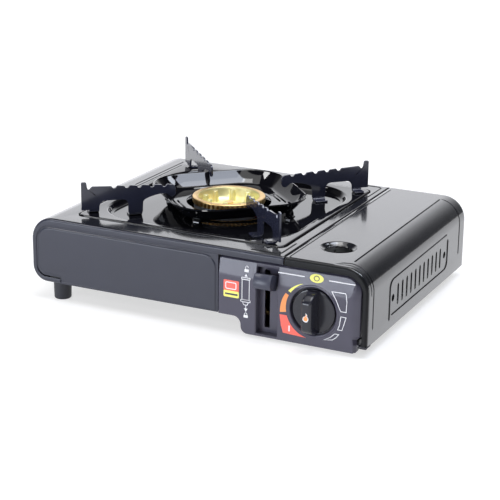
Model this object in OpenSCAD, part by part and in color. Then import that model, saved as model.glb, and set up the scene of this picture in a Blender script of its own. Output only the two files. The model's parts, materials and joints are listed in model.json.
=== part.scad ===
// Portable cassette gas stove: a low sheet-steel case with a sunk burner on the left and a
// covered gas cartridge bay on the right. The front carries the lock lever and the gas knob.
// Origin: on the table, in the middle of the whole object. +X right, +Y rear, +Z up.
// Lengths are in millimetres.

/* [Case] */
// Width of the case, left to right
body_w = 342; // [336:1:348]
// Depth of the case, front to rear, without the knob
body_d = 257; // [254:1:262]
// Height of the top face above the table
top_h = 80.5; // [80:0.5:82]
// Height of the case's lower edge under the burner
burner_low_h = 18.5; // [18:0.5:20]
// Height of the floor under the gas cartridge
bay_floor_h = 6; // [5.5:0.5:6.5]
// Radius of the two long upper edges
edge_r = 22.5; // [21:0.5:23]
// Radius of the lower left edge
low_edge_r = 15.5; // [14:0.5:16]
// Thickness of the sheet steel
sheet = 0.8; // [0.7:0.1:0.9]
// Width of the folded band along the top of the front and the rear
band_top = 7.5; // [7:0.5:8]
// Width of the folded band at the left and right ends
band_side = 5.3; // [5:0.1:5.6]
// Seam between the top cover and the cartridge cover, right of the middle
seam_x = 90.5; // [90:0.5:91]

/* [Burner] */
// Place of the burner's axis, left (negative) of the middle
burner_x = -27.5; // [-28:0.5:-27]
// Radius of the brass burner head
head_r = 35.5; // [34:0.5:36]
// Height of the burner head's rim
head_top_h = 88; // [87:0.5:89]
// Number of flame slots around the burner head
flame_slots = 48; // [24:4:60]

/* [Pan stand] */
// Half the width of the drip tray
tray_half = 106.3; // [106:0.1:106.5]
// Height of the drip tray's border
tray_h = 81.3; // [81:0.1:81.6]
// Height of the sunk floor of the drip tray
tray_floor_h = 75; // [74.8:0.1:75.2]
// Height of the serrated top of the pan supports, halfway along
arm_h = 105.5; // [104:0.5:107]
// Height of the posts at the outer ends of the pan supports
post_h = 112; // [111:0.5:115]
// Thickness of the pan supports
arm_t = 2; // [1.6:0.2:2.4]
// Half the width of the wind shield, which is turned 45 degrees
shield_half = 66; // [65:0.5:66.5]
// Height of the wind shield's rim
shield_h = 94; // [93.5:0.5:94]

/* [Controls] */
// How far the gas knob stands out of the front
knob_out = 17; // [15:1:18]
// Radius of the gas knob's disc
knob_r = 20.2; // [19.8:0.1:21]
// Knob axis: right of the middle
knob_x = 120; // [119:0.5:121]
// Knob axis: above the table
knob_h = 35.4; // [34:0.2:37]
// Swing of the lock lever, in degrees
lever_swing = 41; // [38:1:41]

/* [Cartridge bay] */
// Radius of the gas cartridge that the bay holds
can_r = 34; // [33:0.5:34]
// Place of the cartridge's axis, right of the middle
can_x = 130; // [129:0.5:130.5]

/* [Hidden] */
$fn = 48;

// Case planes
case_left = -body_w / 2;
case_right = body_w / 2;
burner_y = knob_out / 2;
front_y = burner_y - body_d / 2;
rear_y = burner_y + body_d / 2;
inner_front_y = front_y + 10.2;
inner_rear_y = rear_y - 2;
burner_floor = burner_low_h + sheet + 0.1;
floor_t = 1;
step_x = 44;
step_r = (burner_floor - bay_floor_h) / 2;
lip_end_x = case_left + 31;
panel_right_x = 27;
gap = 0.8;

// Sunk recess in the top cover for the drip tray
recess_half = tray_half + 1;
recess_h = 69;
recess_hole_r = 48;
tray_corner_r = 8;
well_half = 98;
well_r = 47;
tray_hole_r = 44;
shield_hole_r = 41;
shield_r = 29;
shield_floor_h = 81;
shield_floor_half = 48;

// Pan support outline, measured outward from the burner's axis
arm_out = 146;
arm_in = 54;
outer_leg = 129;
inner_leg = [86, 100.5];
window_top = 92.5;
rim_notch = [62, 70.5, 95.4];
arm_angles = [-135, -45, 135, 45];
foot_w = 9;
foot_t = 1.5;
rivet_r = 1.5;
rivet_u = [134, 93];

// Cartridge cover hinge
hinge_x = 163.5;
hinge_h = 12;
hinge_pin_r = 2;
cover_low_h = 10.6;
cover_left_x = seam_x + 0.6;

// Fascia
fascia_left = 28;
fascia_top = top_h - band_top - gap;
fascia_low = 2.3;
fascia_step_h = 17.5;
fascia_t = 2.2;
fascia_depth = 9;
channel = [64.8, 85.4];
channel_z = [5.2, 67.4];
channel_depth = 8;
slot_half = 2.6;
slot_z = [9.6, 64];
lever_x = channel[0] + 7.6;
well_depth = 6;
knob_well_r = knob_r + 1.6;

// Gas train
can_h = bay_floor_h + floor_t + 1.5 + can_r;
shaft_r = 3;
bulkhead_y = inner_front_y + 2.3;
bulkhead_t = 1;
reg_front_y = bulkhead_y + bulkhead_t;
reg_rear_y = front_y + 36;
inlet_r = 4.1;
inlet_depth = 8;
pipe_r = 2.2;
pipe_h = 16;
pipe_y = front_y + 25;
injector_at = [60, -51.5, 50];
mix_h = injector_at[2];
mix_angle = atan2(injector_at[1] - burner_y, injector_at[0] - burner_x);
mix_r = 10;
bracket_h = 38;
partition_x = seam_x - 1.7;
seat_r = 34;
electrode_u = 38.5;
wire_h = 58;

// Lock lever and cartridge pusher
pivot_y = front_y + 46;
pivot_h = 38;
pivot_r = 2.5;
lever_t = 1.6;
lever_len = 51;
arm_up = 12.2;
pusher_travel = 2 * arm_up * tan(lever_swing / 2);
pusher_x = 82.5;
pusher_t = 1.2;
pusher_z = [44, 57];
pusher_rear_y = front_y + 239;
stud_ys = [0, 80];
stud_r = 2.2;

steel_dark = [0.24, 0.25, 0.30];
enamel = [0.06, 0.06, 0.08];
zinc_plate = [0.72, 0.73, 0.75];
plastic_grey = [0.33, 0.32, 0.36];
plastic_black = [0.12, 0.12, 0.14];
brass = [0.85, 0.62, 0.22];

// ---------- drawing helpers ----------

// Points along an arc, from angle a0 to angle a1
function arc_pts(cx, cy, r, a0, a1, n = 8) =
    [for (i = [0:n]) let (a = a0 + (a1 - a0) * i / n) [cx + r * cos(a), cy + r * sin(a)]];

// Square of half width h with corners of radius r
function round_square(h, r, n = 8) = concat(
    arc_pts(h - r, h - r, r, 0, 90, n),
    arc_pts(r - h, h - r, r, 90, 180, n),
    arc_pts(r - h, r - h, r, 180, 270, n),
    arc_pts(h - r, r - h, r, 270, 360, n)
);

// Lifts an outline drawn in X and Z into a plate from y0 to y1
module xz(y0, y1) {
    translate([0, y1, 0])
        rotate([90, 0, 0])
            linear_extrude(y1 - y0) children();
}

// Lifts an outline drawn in Y and Z into a plate from x0 to x1
module yz(x0, x1) {
    translate([x0, 0, 0])
        rotate([90, 0, 90])
            linear_extrude(x1 - x0) children();
}

// Box from its lowest to its highest corner
module block(a, b) {
    translate(a) cube(b - a);
}

// Round bar along Y at (x, z)
module bar_y(x, z, y0, y1, r) {
    translate([x, y1, z])
        rotate([90, 0, 0]) cylinder(h = y1 - y0, r = r);
}

// Round bar along X at (y, z)
module bar_x(y, z, x0, x1, r) {
    translate([x0, y, z])
        rotate([0, 90, 0]) cylinder(h = x1 - x0, r = r);
}

// Moves a piece that is drawn around the burner's axis to the burner
module at_burner(angle = 0) {
    translate([burner_x, burner_y, 0]) rotate(angle) children();
}

// Slab of a rounded square around the burner
module square_slab(h, r, z0, z1) {
    translate([0, 0, z0]) linear_extrude(z1 - z0) polygon(round_square(h, r));
}

// Slopes from one rounded square to another
module square_funnel(h0, r0, z0, h1, r1, z1) {
    skin = 0.01;
    hull() {
        square_slab(h0, r0, z0, z0 + skin);
        square_slab(h1, r1, z1 - skin, z1);
    }
}

// ---------- case outlines, in X and Z ----------

// Burner side of the case, drawn in by t
function left_outline(t, over = 0) = concat(
    [[seam_x + over, top_h - t]],
    arc_pts(case_left + edge_r, top_h - edge_r, edge_r - t, 90, 180),
    arc_pts(case_left + low_edge_r, burner_low_h + low_edge_r, low_edge_r - t, 180, 270),
    [[seam_x + over, burner_low_h + t]]
);

// Cartridge cover, drawn in by t
function right_outline(t, over = 0) = concat(
    [[cover_left_x - over, cover_low_h - over], [case_right - t, cover_low_h - over]],
    arc_pts(case_right - edge_r, top_h - edge_r, edge_r - t, 0, 90),
    [[cover_left_x - over, top_h - t]]
);

// Stepped floor of the case, raised by z
function floor_line(z, x_start, x_end) = concat(
    [[x_start, burner_floor + z]],
    arc_pts(step_x, burner_floor - step_r + z, step_r, 90, 0, 5),
    arc_pts(step_x + 2 * step_r, bay_floor_h + step_r + z, step_r, 180, 270, 5),
    [[x_end, bay_floor_h + z]]
);

// Inner edge of the folded band on the burner side, drawn in by t
function left_inner(t) = concat(
    [[seam_x + 1, top_h - band_top - t]],
    arc_pts(case_left + band_side + 15, top_h - band_top - 15, 15 - t, 90, 180),
    arc_pts(case_left + band_side + 10, burner_low_h + band_side + 10, 10 - t, 180, 270),
    [[seam_x + 1, burner_low_h + band_side + t]]
);

// Inner edge of the folded band on the cartridge cover, drawn in by t
function right_inner(t) = concat(
    [[cover_left_x - 1, cover_low_h - 1], [case_right - band_side - t, cover_low_h - 1]],
    arc_pts(case_right - band_side - 16, top_h - band_top - 16, 16 - t, 0, 90),
    [[cover_left_x - 1, top_h - band_top - t]]
);

function reversed(v) = [for (i = [len(v) - 1:-1:0]) v[i]];

function floor_strip(t, x_start, x_end) =
    concat(floor_line(0, x_start, x_end), reversed(floor_line(t, x_start, x_end)));

// Raised face of the front panel, drawn in by t
function panel_outline(t) = concat(
    arc_pts(case_left + band_side + 15, top_h - band_top - 15, 15 - gap - t, 90, 180),
    arc_pts(case_left + band_side + 10, burner_low_h + band_side + 10, 10 - gap - t, 180, 270),
    [[lip_end_x + gap + t, burner_low_h + band_side + gap + t],
     [lip_end_x + gap + t, burner_low_h + t], [panel_right_x - t, burner_low_h + t]],
    arc_pts(panel_right_x - 12, top_h - band_top - gap - 12, 12 - t, 0, 90)
);

// Front outline of the control fascia, drawn in by t
function fascia_outline(t) = concat(
    [[fascia_left + t, fascia_top - t], [fascia_left + t, fascia_step_h + t]],
    arc_pts(fascia_left + 14, fascia_step_h - 7, 7 + t, 90, 0, 5),
    arc_pts(fascia_left + 28, fascia_low + 7, 7 - t, 180, 270, 5),
    [[hinge_x - 5 - t, fascia_low + t], [hinge_x - 5 - t, 17.5 + t],
     [case_right - band_side - gap - t, 17.5 + t]],
    arc_pts(case_right - band_side - 16, fascia_top - 16 + gap, 16 - gap - t, 0, 90)
);

// ---------- case ----------

// Knuckle of the case that holds a hinge pin, between y0 and y1
module case_knuckle(y0, y1) {
    difference() {
        union() {
            xz(y0, y1) polygon([
                [149, bay_floor_h], [154, bay_floor_h], [hinge_x, hinge_h - 4.2],
                [hinge_x, hinge_h + 4.2], [152, hinge_h + 4.2], [149, hinge_h]
            ]);
            bar_y(hinge_x, hinge_h, y0, y1, 4.2);
        }
        bar_y(hinge_x, hinge_h, y0 - 1, y1 + 1, hinge_pin_r + 0.02);
    }
}

module bottom_case() {
    bay_right = 154;
    color(steel_dark)
    difference() {
        union() {
            xz(inner_front_y, inner_rear_y)
                polygon(floor_strip(floor_t, case_left + 18, bay_right));
            xz(front_y + 2.2, inner_front_y + 0.1)
                polygon([[case_left + 18, burner_floor], [panel_right_x, burner_floor],
                    [panel_right_x, burner_floor + floor_t],
                    [case_left + 18, burner_floor + floor_t]]);
            // folded up front, rear and right edges
            block([case_left + 18, front_y + 2.2, burner_floor],
                [panel_right_x, front_y + 3.2, burner_floor + 11]);
            xz(inner_rear_y - 1, inner_rear_y)
                polygon(floor_strip(11, case_left + 18, bay_right - 1));
            block([bay_right - 1, inner_front_y, bay_floor_h],
                [bay_right, inner_rear_y, bay_floor_h + 8]);
            case_knuckle(inner_front_y, inner_front_y + 1.2);
            case_knuckle(rear_y - 11.4, rear_y - 10.2);
        }
        // air inlets under the burner
        at_burner()
            for (i = [0:11])
                rotate(i * 30)
                    translate([40, 0, 0]) cylinder(h = 40, r = 3.5);
    }
}

module cover_band(y0) {
    xz(y0, y0 + sheet)
        difference() {
            polygon(left_outline(0));
            polygon(left_inner(0));
        }
}

module top_cover() {
    color(steel_dark)
    difference() {
        union() {
            difference() {
                xz(front_y, rear_y) polygon(left_outline(0));
                xz(front_y - 1, rear_y + 1) polygon(left_outline(sheet, 1));
            }
            cover_band(front_y);
            cover_band(rear_y - sheet);
            // folded down edge along the seam
            block([seam_x - sheet, front_y + 10.5, 60], [seam_x, rear_y - 2.5, top_h - 0.1]);
            // recess for the drip tray
            at_burner() {
                difference() {
                    square_slab(recess_half + sheet, tray_corner_r + 1 + sheet, recess_h - sheet,
                        top_h - 0.1);
                    square_slab(recess_half, tray_corner_r + 1, recess_h, top_h + 1);
                }
            }
        }
        // opening over the recess and the burner's hole in its floor
        at_burner() {
            square_slab(recess_half, tray_corner_r + 1, top_h - 2, top_h + 1);
            translate([0, 0, recess_h - 3]) cylinder(h = 6, r = recess_hole_r);
        }
        // open underside
        block([lip_end_x, front_y - 1, burner_low_h - 1],
            [seam_x + 2, rear_y + 1, burner_low_h + 8]);
    }
}

module front_panel() {
    face_y = front_y + 0.2;
    color([0.29, 0.30, 0.36]) {
        xz(face_y, face_y + sheet) polygon(panel_outline(0));
        xz(face_y, face_y + 1.8) difference() {
            polygon(panel_outline(0));
            polygon(panel_outline(sheet));
        }
        // hidden edge behind the cover's band
        difference() {
            xz(face_y + 1, face_y + 1.8) polygon(concat(
                arc_pts(case_left + edge_r, top_h - edge_r, edge_r - 2, 90, 180),
                arc_pts(case_left + low_edge_r, burner_low_h + low_edge_r, low_edge_r - 2, 180, 270),
                [[lip_end_x, burner_low_h + 2], [panel_right_x, burner_low_h + 2],
                 [panel_right_x, top_h - 2]]
            ));
            xz(face_y, face_y + 3) polygon(panel_outline(sheet));
        }
    }
}

module rear_panel() {
    panel_y = rear_y - 1.8;
    color(steel_dark)
    difference() {
        union() {
            xz(panel_y, panel_y + sheet) polygon(concat(
                arc_pts(case_left + edge_r, top_h - edge_r, edge_r - 2, 90, 180),
                arc_pts(case_left + low_edge_r, burner_low_h + low_edge_r, low_edge_r - 2, 180, 270),
                [[step_x + 8, burner_low_h + 2], [step_x + 16, bay_floor_h], [154, bay_floor_h],
                 [154, 21.5], [163, 21.5], [163, top_h - edge_r]],
                arc_pts(case_right - edge_r, top_h - edge_r, 14.5, 0, 90),
                [[case_right - edge_r, top_h - 2]]
            ));
        }
        for (x = [-140, -60, 40, 130])
            bar_y(x, x > 60 ? 60 : 50, panel_y - 1, panel_y + 3, 1.52);
    }
}

module rear_screws() {
    color(zinc_plate)
    for (x = [-140, -60, 40, 130]) {
        z = x > 60 ? 60 : 50;
        bar_y(x, z, rear_y - 1, rear_y - 0.1, 3);
        bar_y(x, z, rear_y - 6, rear_y - 1, 1.5);
    }
}

module bay_partition() {
    window = [pusher_rear_y - pusher_travel - 3, pusher_rear_y + 2];
    color(zinc_plate)
    difference() {
        union() {
            block([partition_x, inner_front_y + 4, bay_floor_h + floor_t],
                [partition_x + sheet, inner_rear_y - 1.2, top_h - 1]);
            block([partition_x - 8, inner_front_y + 8, bay_floor_h + floor_t],
                [partition_x, inner_rear_y - 1.2, bay_floor_h + floor_t + sheet]);
        }
        block([partition_x - 1, window[0], pusher_z[0] - 15.2],
            [partition_x + 2, window[1], pusher_z[1] + 1.2]);
        bar_x(pivot_y, pivot_h, partition_x - 1, partition_x + 2, pivot_r + 0.02);
        bar_x(pipe_y, pipe_h, partition_x - 1, partition_x + 2, pipe_r + 1.5);
        bar_x(pipe_y, wire_h, partition_x - 1, partition_x + 2, 1.8);
        for (y = stud_ys)
            bar_x(y, 50.5, partition_x - 1, partition_x + 2, stud_r + 0.02);
    }
}

module front_bulkhead() {
    color(zinc_plate)
    difference() {
        union() {
            block([92, bulkhead_y, bay_floor_h + floor_t], [148, bulkhead_y + bulkhead_t, 68]);
            block([92, bulkhead_y, bay_floor_h + floor_t],
                [148, bulkhead_y + 9, bay_floor_h + floor_t + 1]);
        }
        bar_y(knob_x, knob_h, bulkhead_y - 1, bulkhead_y + 2, shaft_r + 1.5);
        bar_y(104, 56, bulkhead_y - 1, bulkhead_y + 2, 3.4);
    }
}

module control_fascia() {
    back_y = front_y + fascia_depth;
    color(plastic_grey)
    difference() {
        union() {
            xz(front_y, front_y + fascia_t) polygon(fascia_outline(0));
            xz(front_y, back_y) difference() {
                polygon(fascia_outline(0));
                polygon(fascia_outline(1.8));
            }
            // box around the lever's channel
            block([channel[0] - 1.8, front_y, channel_z[0] - 1.5],
                [channel[1] + 1.8, front_y + channel_depth + 1.8, channel_z[1] + 1]);
            // cup around the knob
            bar_y(knob_x, knob_h, front_y, front_y + well_depth + 1.8, knob_well_r + 1.8);
            // raised ring around the knob
            bar_y(knob_x, knob_h, front_y - 0.6, front_y + 1, knob_well_r + 2);
        }
        block([channel[0], front_y - 1, channel_z[0]],
            [channel[1], front_y + channel_depth, channel_z[1]]);
        block([lever_x - slot_half, front_y - 1, slot_z[0]],
            [lever_x + slot_half, front_y + channel_depth + 3, slot_z[1]]);
        bar_y(knob_x, knob_h, front_y - 2, front_y + well_depth, knob_well_r);
        bar_y(knob_x, knob_h, front_y - 2, front_y + well_depth + 3, shaft_r + 2);
    }
}

module left_feet() {
    color(plastic_black)
    for (y = [front_y + 12.5, rear_y - 12.5])
        translate([case_left + 25.6, y, 0]) {
            cylinder(h = 1.2, r1 = 7.8, r2 = 8.8);
            translate([0, 0, 1.2]) cylinder(h = burner_low_h - 1.2, r1 = 8.8, r2 = 9.2);
        }
}

module right_feet() {
    color(plastic_black)
    for (y = [front_y + 24, rear_y - 16])
        translate([135, y, 0]) cylinder(h = bay_floor_h, r1 = 8, r2 = 8.6);
}

module cartridge_cradle() {
    inner = can_r + 0.4;
    spread = 40;
    leg_u = 22;
    y0 = front_y + 48;
    y1 = rear_y - 35;
    color(zinc_plate)
    difference() {
        union() {
            difference() {
                bar_y(can_x, can_h, y0, y1, inner + sheet);
                block([can_x - 50, y0 - 1, can_h - inner * cos(spread)],
                    [can_x + 50, y1 + 1, can_h + 50]);
            }
            for (side = [-1, 1])
                block([can_x + side * leg_u - 0.5, y0, bay_floor_h + floor_t],
                    [can_x + side * leg_u + 0.5, y1, can_h - inner * cos(spread)]);
        }
        bar_y(can_x, can_h, y0 - 1, y1 + 1, inner);
    }
}

// ---------- gas train ----------

module gas_regulator() {
    color([0.66, 0.67, 0.69])
    difference() {
        union() {
            block([104, reg_front_y, 24], [137, reg_rear_y - 8, 49]);
            bar_y(can_x, can_h, reg_rear_y - 10, reg_rear_y, 15);
            bar_x(pipe_y, pipe_h + 17, 97, 106, 9);
            block([104, pipe_y - 7, pipe_h - 6], [112, pipe_y + 7, 26]);
        }
        bar_y(can_x, can_h, reg_rear_y - inlet_depth, reg_rear_y + 1, inlet_r);
        bar_y(knob_x, knob_h, reg_front_y - 1, reg_front_y + 15, shaft_r + 0.05);
        bar_x(pipe_y, pipe_h, 100, 110, pipe_r + 0.02);
    }
}

module inlet_seal() {
    color([0.1, 0.1, 0.1])
    difference() {
        bar_y(can_x, can_h, reg_rear_y, reg_rear_y + 1.5, 7.5);
        bar_y(can_x, can_h, reg_rear_y - 1, reg_rear_y + 3, 5);
    }
}

module notch_guide() {
    color(zinc_plate) {
        block([can_x - 3, reg_rear_y - 9, can_h + 15.2], [can_x + 3, reg_rear_y + 6, can_h + 17]);
        block([can_x - 3, bulkhead_y + bulkhead_t, can_h + 15.2],
            [can_x + 3, reg_rear_y - 8.9, can_h + 17]);
        block([can_x - 8, bulkhead_y + bulkhead_t, can_h + 15.2],
            [can_x + 8, bulkhead_y + bulkhead_t + 1, can_h + 22]);
    }
}

// Quarter bend of a round pipe: it starts along +X and turns to +Y
module bend(r_bend, r) {
    translate([0, r_bend, 0])
        rotate(-90) rotate_extrude(angle = 90) translate([r_bend, 0]) circle(r = r, $fn = 24);
}

module gas_pipe() {
    r_bend = 8;
    riser_x = injector_at[0];
    run_h = pipe_h + 2 * r_bend;
    color(brass) {
        bar_x(pipe_y, pipe_h, riser_x + r_bend, 109, pipe_r);
        // bends up, then to the rear
        translate([riser_x + r_bend, pipe_y, pipe_h])
            rotate([90, 0, 180]) bend(r_bend, pipe_r);
        translate([riser_x, pipe_y, pipe_h + r_bend])
            rotate([0, -90, 0]) bend(r_bend, pipe_r);
        bar_y(riser_x, run_h, pipe_y + r_bend, injector_at[1] - r_bend, pipe_r);
        // bends up into the injector
        translate([riser_x, injector_at[1] - r_bend, run_h])
            rotate([90, 0, 90]) bend(r_bend, pipe_r);
        translate([riser_x, injector_at[1], run_h + r_bend])
            cylinder(h = mix_h - run_h - r_bend, r = pipe_r);
    }
}

module injector() {
    color(brass)
    difference() {
        translate(injector_at) rotate(mix_angle) {
            translate([-4, 0, 0]) rotate([0, -90, 0]) cylinder(h = 12, r = 4, $fn = 6);
            rotate([0, -90, 0]) cylinder(h = 19, r = 2.6);
            translate([-4, 0, 0]) rotate([0, 90, 0]) cylinder(h = 8, r = 4.4);
        }
        translate(injector_at - [0, 0, 8]) cylinder(h = 8.1, r = pipe_r + 0.02);
    }
}

module mixing_tube() {
    color([0.62, 0.63, 0.65])
    at_burner(mix_angle) translate([0, 0, mix_h])
        difference() {
            union() {
                translate([26, 0, 0]) rotate([0, 90, 0]) cylinder(h = 58, r = mix_r);
                translate([84, 0, 0]) rotate([0, 90, 0]) cylinder(h = 8, r1 = mix_r, r2 = 13);
            }
            translate([20, 0, 0]) rotate([0, 90, 0]) cylinder(h = 66, r = mix_r - 1.5);
            translate([84, 0, 0]) rotate([0, 90, 0]) cylinder(h = 8.1, r1 = mix_r - 1.5, r2 = 11.5);
            for (a = [0, 90, 180, 270])
                rotate([a, 0, 0]) translate([74, 0, 0]) cylinder(h = 15, r = 3);
        }
}

module burner_bracket() {
    color(zinc_plate)
    difference() {
        translate([burner_x, burner_y, 0]) {
            block([-16, -52, bracket_h - 1.2], [16, 52, bracket_h]);
            for (side = [-1, 1]) {
                translate([-16, side * 51.4 - 0.6, burner_floor + floor_t])
                    cube([32, 1.2, bracket_h - burner_floor - floor_t]);
                translate([-16, side * 56 - 5, burner_floor + floor_t]) cube([32, 10, 1.2]);
            }
        }
        at_burner()
            for (side = [-1, 1])
                translate([0, side * 17, bracket_h - 3]) cylinder(h = 5, r = 1.52);
    }
}

module burner_base() {
    color([0.6, 0.61, 0.63])
    difference() {
        at_burner() {
            rotate_extrude() polygon([
                [0, bracket_h], [21, bracket_h], [21, bracket_h + 3], [14, bracket_h + 3],
                [14, 61], [24, 66], [seat_r, 75], [seat_r, 82.2], [seat_r - 2, 82.2],
                [seat_r - 2, 75.8], [22.5, 67], [12, 62.5], [12, bracket_h + 5], [0, bracket_h + 5]
            ]);
            // arm that carries the ignition electrode
            rotate(100) translate([23.3, -4, 64.2]) cube([19, 8, 3]);
        }
        at_burner() {
            rotate(mix_angle) translate([8, 0, mix_h])
                rotate([0, 90, 0]) cylinder(h = 22, r = mix_r + 0.02);
            rotate(100) translate([electrode_u, 0, 60]) cylinder(h = 10, r = 2.52);
            for (side = [-1, 1])
                translate([0, side * 17, bracket_h - 1]) cylinder(h = 6, r = 1.52);
        }
    }
}

module burner_screws() {
    color(zinc_plate)
    at_burner()
        for (side = [-1, 1])
            translate([0, side * 17, bracket_h - 4]) {
                cylinder(h = 7, r = 1.5);
                translate([0, 0, 7]) cylinder(h = 2, r = 2.8);
            }
}

module burner_head() {
    rim_in = head_r - 5.6;
    color(brass)
    at_burner()
        difference() {
            union() {
                rotate_extrude() polygon([
                    [2.5, 74.5], [25.5, 74.5], [head_r - 4.5, 82.2], [head_r, 82.2],
                    [head_r, head_top_h - 0.8], [head_r - 0.8, head_top_h], [rim_in, head_top_h],
                    [25, 76.3], [7, 76.3], [7, 79.5], [2.5, 79.5]
                ]);
                for (i = [0:7])
                    rotate(i * 45 + 12)
                        translate([26, 0, 75.5]) cylinder(h = 9, r = 2.8);
            }
            for (i = [0:flame_slots - 1])
                rotate(i * 360 / flame_slots)
                    translate([head_r - 2.6, -0.8, 81]) cube([4, 1.6, 5]);
            for (i = [0:7])
                rotate(i * 45 + 12)
                    translate([25.4, 0, 80]) cylinder(h = 6, r = 1.1);
        }
}

module head_screw() {
    color(zinc_plate)
    at_burner() {
        translate([0, 0, 68]) cylinder(h = 11.5, r = 2.48);
        translate([0, 0, 79.5]) cylinder(h = 2.2, r = 4.6);
    }
}

module piezo_igniter() {
    color([0.75, 0.2, 0.15]) {
        block([97, reg_front_y, 50], [111, reg_front_y + 22, 62]);
        bar_y(104, 56, front_y + 9.6, reg_front_y + 0.1, 3);
    }
}

module electrode_insulator() {
    color([0.93, 0.92, 0.88])
    difference() {
        at_burner(100) translate([electrode_u, 0, 62]) cylinder(h = 16, r = 2.5);
        at_burner(100) translate([electrode_u, 0, 61]) cylinder(h = 18, r = 0.72);
    }
}

module igniter_electrode() {
    color(zinc_plate)
    at_burner(100) {
        translate([electrode_u, 0, 55.5]) cylinder(h = 29.5, r = 0.7);
        translate([electrode_u, 0, 84.3]) rotate([0, -90, 0]) cylinder(h = 1.8, r = 0.6);
    }
}

module igniter_wire() {
    r_bend = 6;
    run_x = 80;
    run_y = 46.4;
    end = [burner_x + electrode_u * cos(100), burner_y + electrode_u * sin(100)];
    color([0.55, 0.1, 0.1]) {
        bar_x(pipe_y, wire_h, run_x + r_bend, 97, 1);
        translate([run_x + r_bend, pipe_y, wire_h]) rotate([180, 0, 180]) bend(r_bend, 1);
        bar_y(run_x, wire_h, pipe_y + r_bend, run_y - r_bend, 1);
        translate([run_x, run_y - r_bend, wire_h]) rotate(90) bend(r_bend, 1);
        // socket on the electrode's tail
        difference() {
            union() {
                bar_x(run_y, wire_h, -34, run_x - r_bend, 1);
                translate([end[0], end[1], wire_h - 2.5]) cylinder(h = 5, r = 1.9);
            }
            translate([end[0], end[1], wire_h - 4]) cylinder(h = 8, r = 0.72);
        }
    }
}

// ---------- controls ----------

module control_knob() {
    disc_front = front_y + 0.6;
    color(plastic_black)
    difference() {
        union() {
            bar_y(knob_x, knob_h, disc_front, front_y + well_depth - 0.5, knob_r);
            translate([knob_x, 0, knob_h]) yz(-5, 5) polygon([
                [disc_front + 1, -19.2], [disc_front - 8, -18], [front_y - knob_out + 2, -15.5],
                [front_y - knob_out, -12.5], [front_y - knob_out, 12.5],
                [front_y - knob_out + 2, 15.5], [disc_front - 8, 18], [disc_front + 1, 19.2]
            ]);
        }
        bar_y(knob_x, knob_h, front_y - 9, front_y + well_depth, shaft_r + 0.02);
    }
}

module valve_shaft() {
    color(zinc_plate)
    bar_y(knob_x, knob_h, front_y - 8.5, reg_front_y + 14.5, shaft_r);
}

module ignition_cam() {
    cam_y = front_y + 8.6;
    // finger stops just short of the igniter's nose at the end of the turn
    finger_angle = -41;
    color([0.8, 0.8, 0.76])
    difference() {
        union() {
            bar_y(knob_x, knob_h, cam_y, cam_y + 2.8, 7);
            xz(cam_y, cam_y + 2.8)
                translate([knob_x, knob_h]) rotate(finger_angle)
                    polygon([[0, -3], [23, -2], [23, 2], [0, 3]]);
        }
        bar_y(knob_x, knob_h, cam_y - 1, cam_y + 4, shaft_r + 0.02);
    }
}

// Moves an outline around the lever's pivot to its rest position, lever up
module at_pivot(x0, x1) {
    translate([0, pivot_y, pivot_h])
        rotate([-lever_swing / 2, 0, 0]) yz(x0, x1) children();
}

module lock_lever() {
    pin_slot_r = 2.3;
    color(zinc_plate)
    at_pivot(lever_x - lever_t / 2, lever_x + lever_t / 2)
        difference() {
            polygon(concat(
                [[-lever_len + 2, -4], [-lever_len + 2, 4], [-7.5, 6], [-5.5, 17.5], [5.5, 17.5]],
                arc_pts(0, 0, 7, 25, -100, 10)
            ));
            circle(r = pivot_r + 0.05);
            translate([-pin_slot_r, arm_up - pin_slot_r]) square([2 * pin_slot_r, 10]);
        }
}

module lever_knob() {
    side_gap = 1.7;
    color(plastic_black)
    difference() {
        at_pivot(channel[0] + side_gap, channel[1] - side_gap)
            polygon(concat(
                [[-44.5, -6.8], [-44.5, 6.8]],
                [for (i = [0:6]) let (a = 30 - 10 * i) [-47 - 13.5 * cos(a), 13.5 * sin(a)]]
            ));
        at_pivot(lever_x - lever_t / 2 - 0.02, lever_x + lever_t / 2 + 0.02)
            translate([-lever_len + 1.9, -4.4]) square([12, 8.8]);
    }
}

module lever_pivot() {
    color(zinc_plate) {
        bar_x(pivot_y, pivot_h, lever_x - 2, partition_x + sheet + 0.6, pivot_r);
        bar_x(pivot_y, pivot_h, lever_x - 3.5, lever_x - 1.4, 4.5);
        bar_x(pivot_y, pivot_h, pusher_x + pusher_t + 1, partition_x, 4);
        bar_x(pivot_y, pivot_h, partition_x + sheet, partition_x + sheet + 0.8, 3.6);
    }
}

module lever_washer() {
    color([0.8, 0.8, 0.8])
    difference() {
        bar_x(pivot_y, pivot_h, lever_x + 1.2, lever_x + 4, 4.5);
        bar_x(pivot_y, pivot_h, lever_x, lever_x + 6, pivot_r + 0.02);
    }
}

module cartridge_pusher() {
    pin_y = pivot_y + arm_up * tan(lever_swing / 2);
    color(zinc_plate)
    difference() {
        union() {
            block([pusher_x, pin_y - 7, pusher_z[0]],
                [pusher_x + pusher_t, pusher_rear_y, pusher_z[1]]);
            block([pusher_x, pusher_rear_y - pusher_t, pusher_z[0] - 14],
                [can_x + 18, pusher_rear_y, pusher_z[1]]);
            bar_x(pin_y, pivot_h + arm_up, lever_x - 2, pusher_x + 0.5, 2);
        }
        for (y = stud_ys) {
            bar_x(y, 50.5, pusher_x - 1, pusher_x + 3, stud_r + 0.3);
            bar_x(y + pusher_travel, 50.5, pusher_x - 1, pusher_x + 3, stud_r + 0.3);
            block([pusher_x - 1, y, 50.5 - stud_r - 0.3],
                [pusher_x + 3, y + pusher_travel, 50.5 + stud_r + 0.3]);
        }
    }
}

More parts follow.
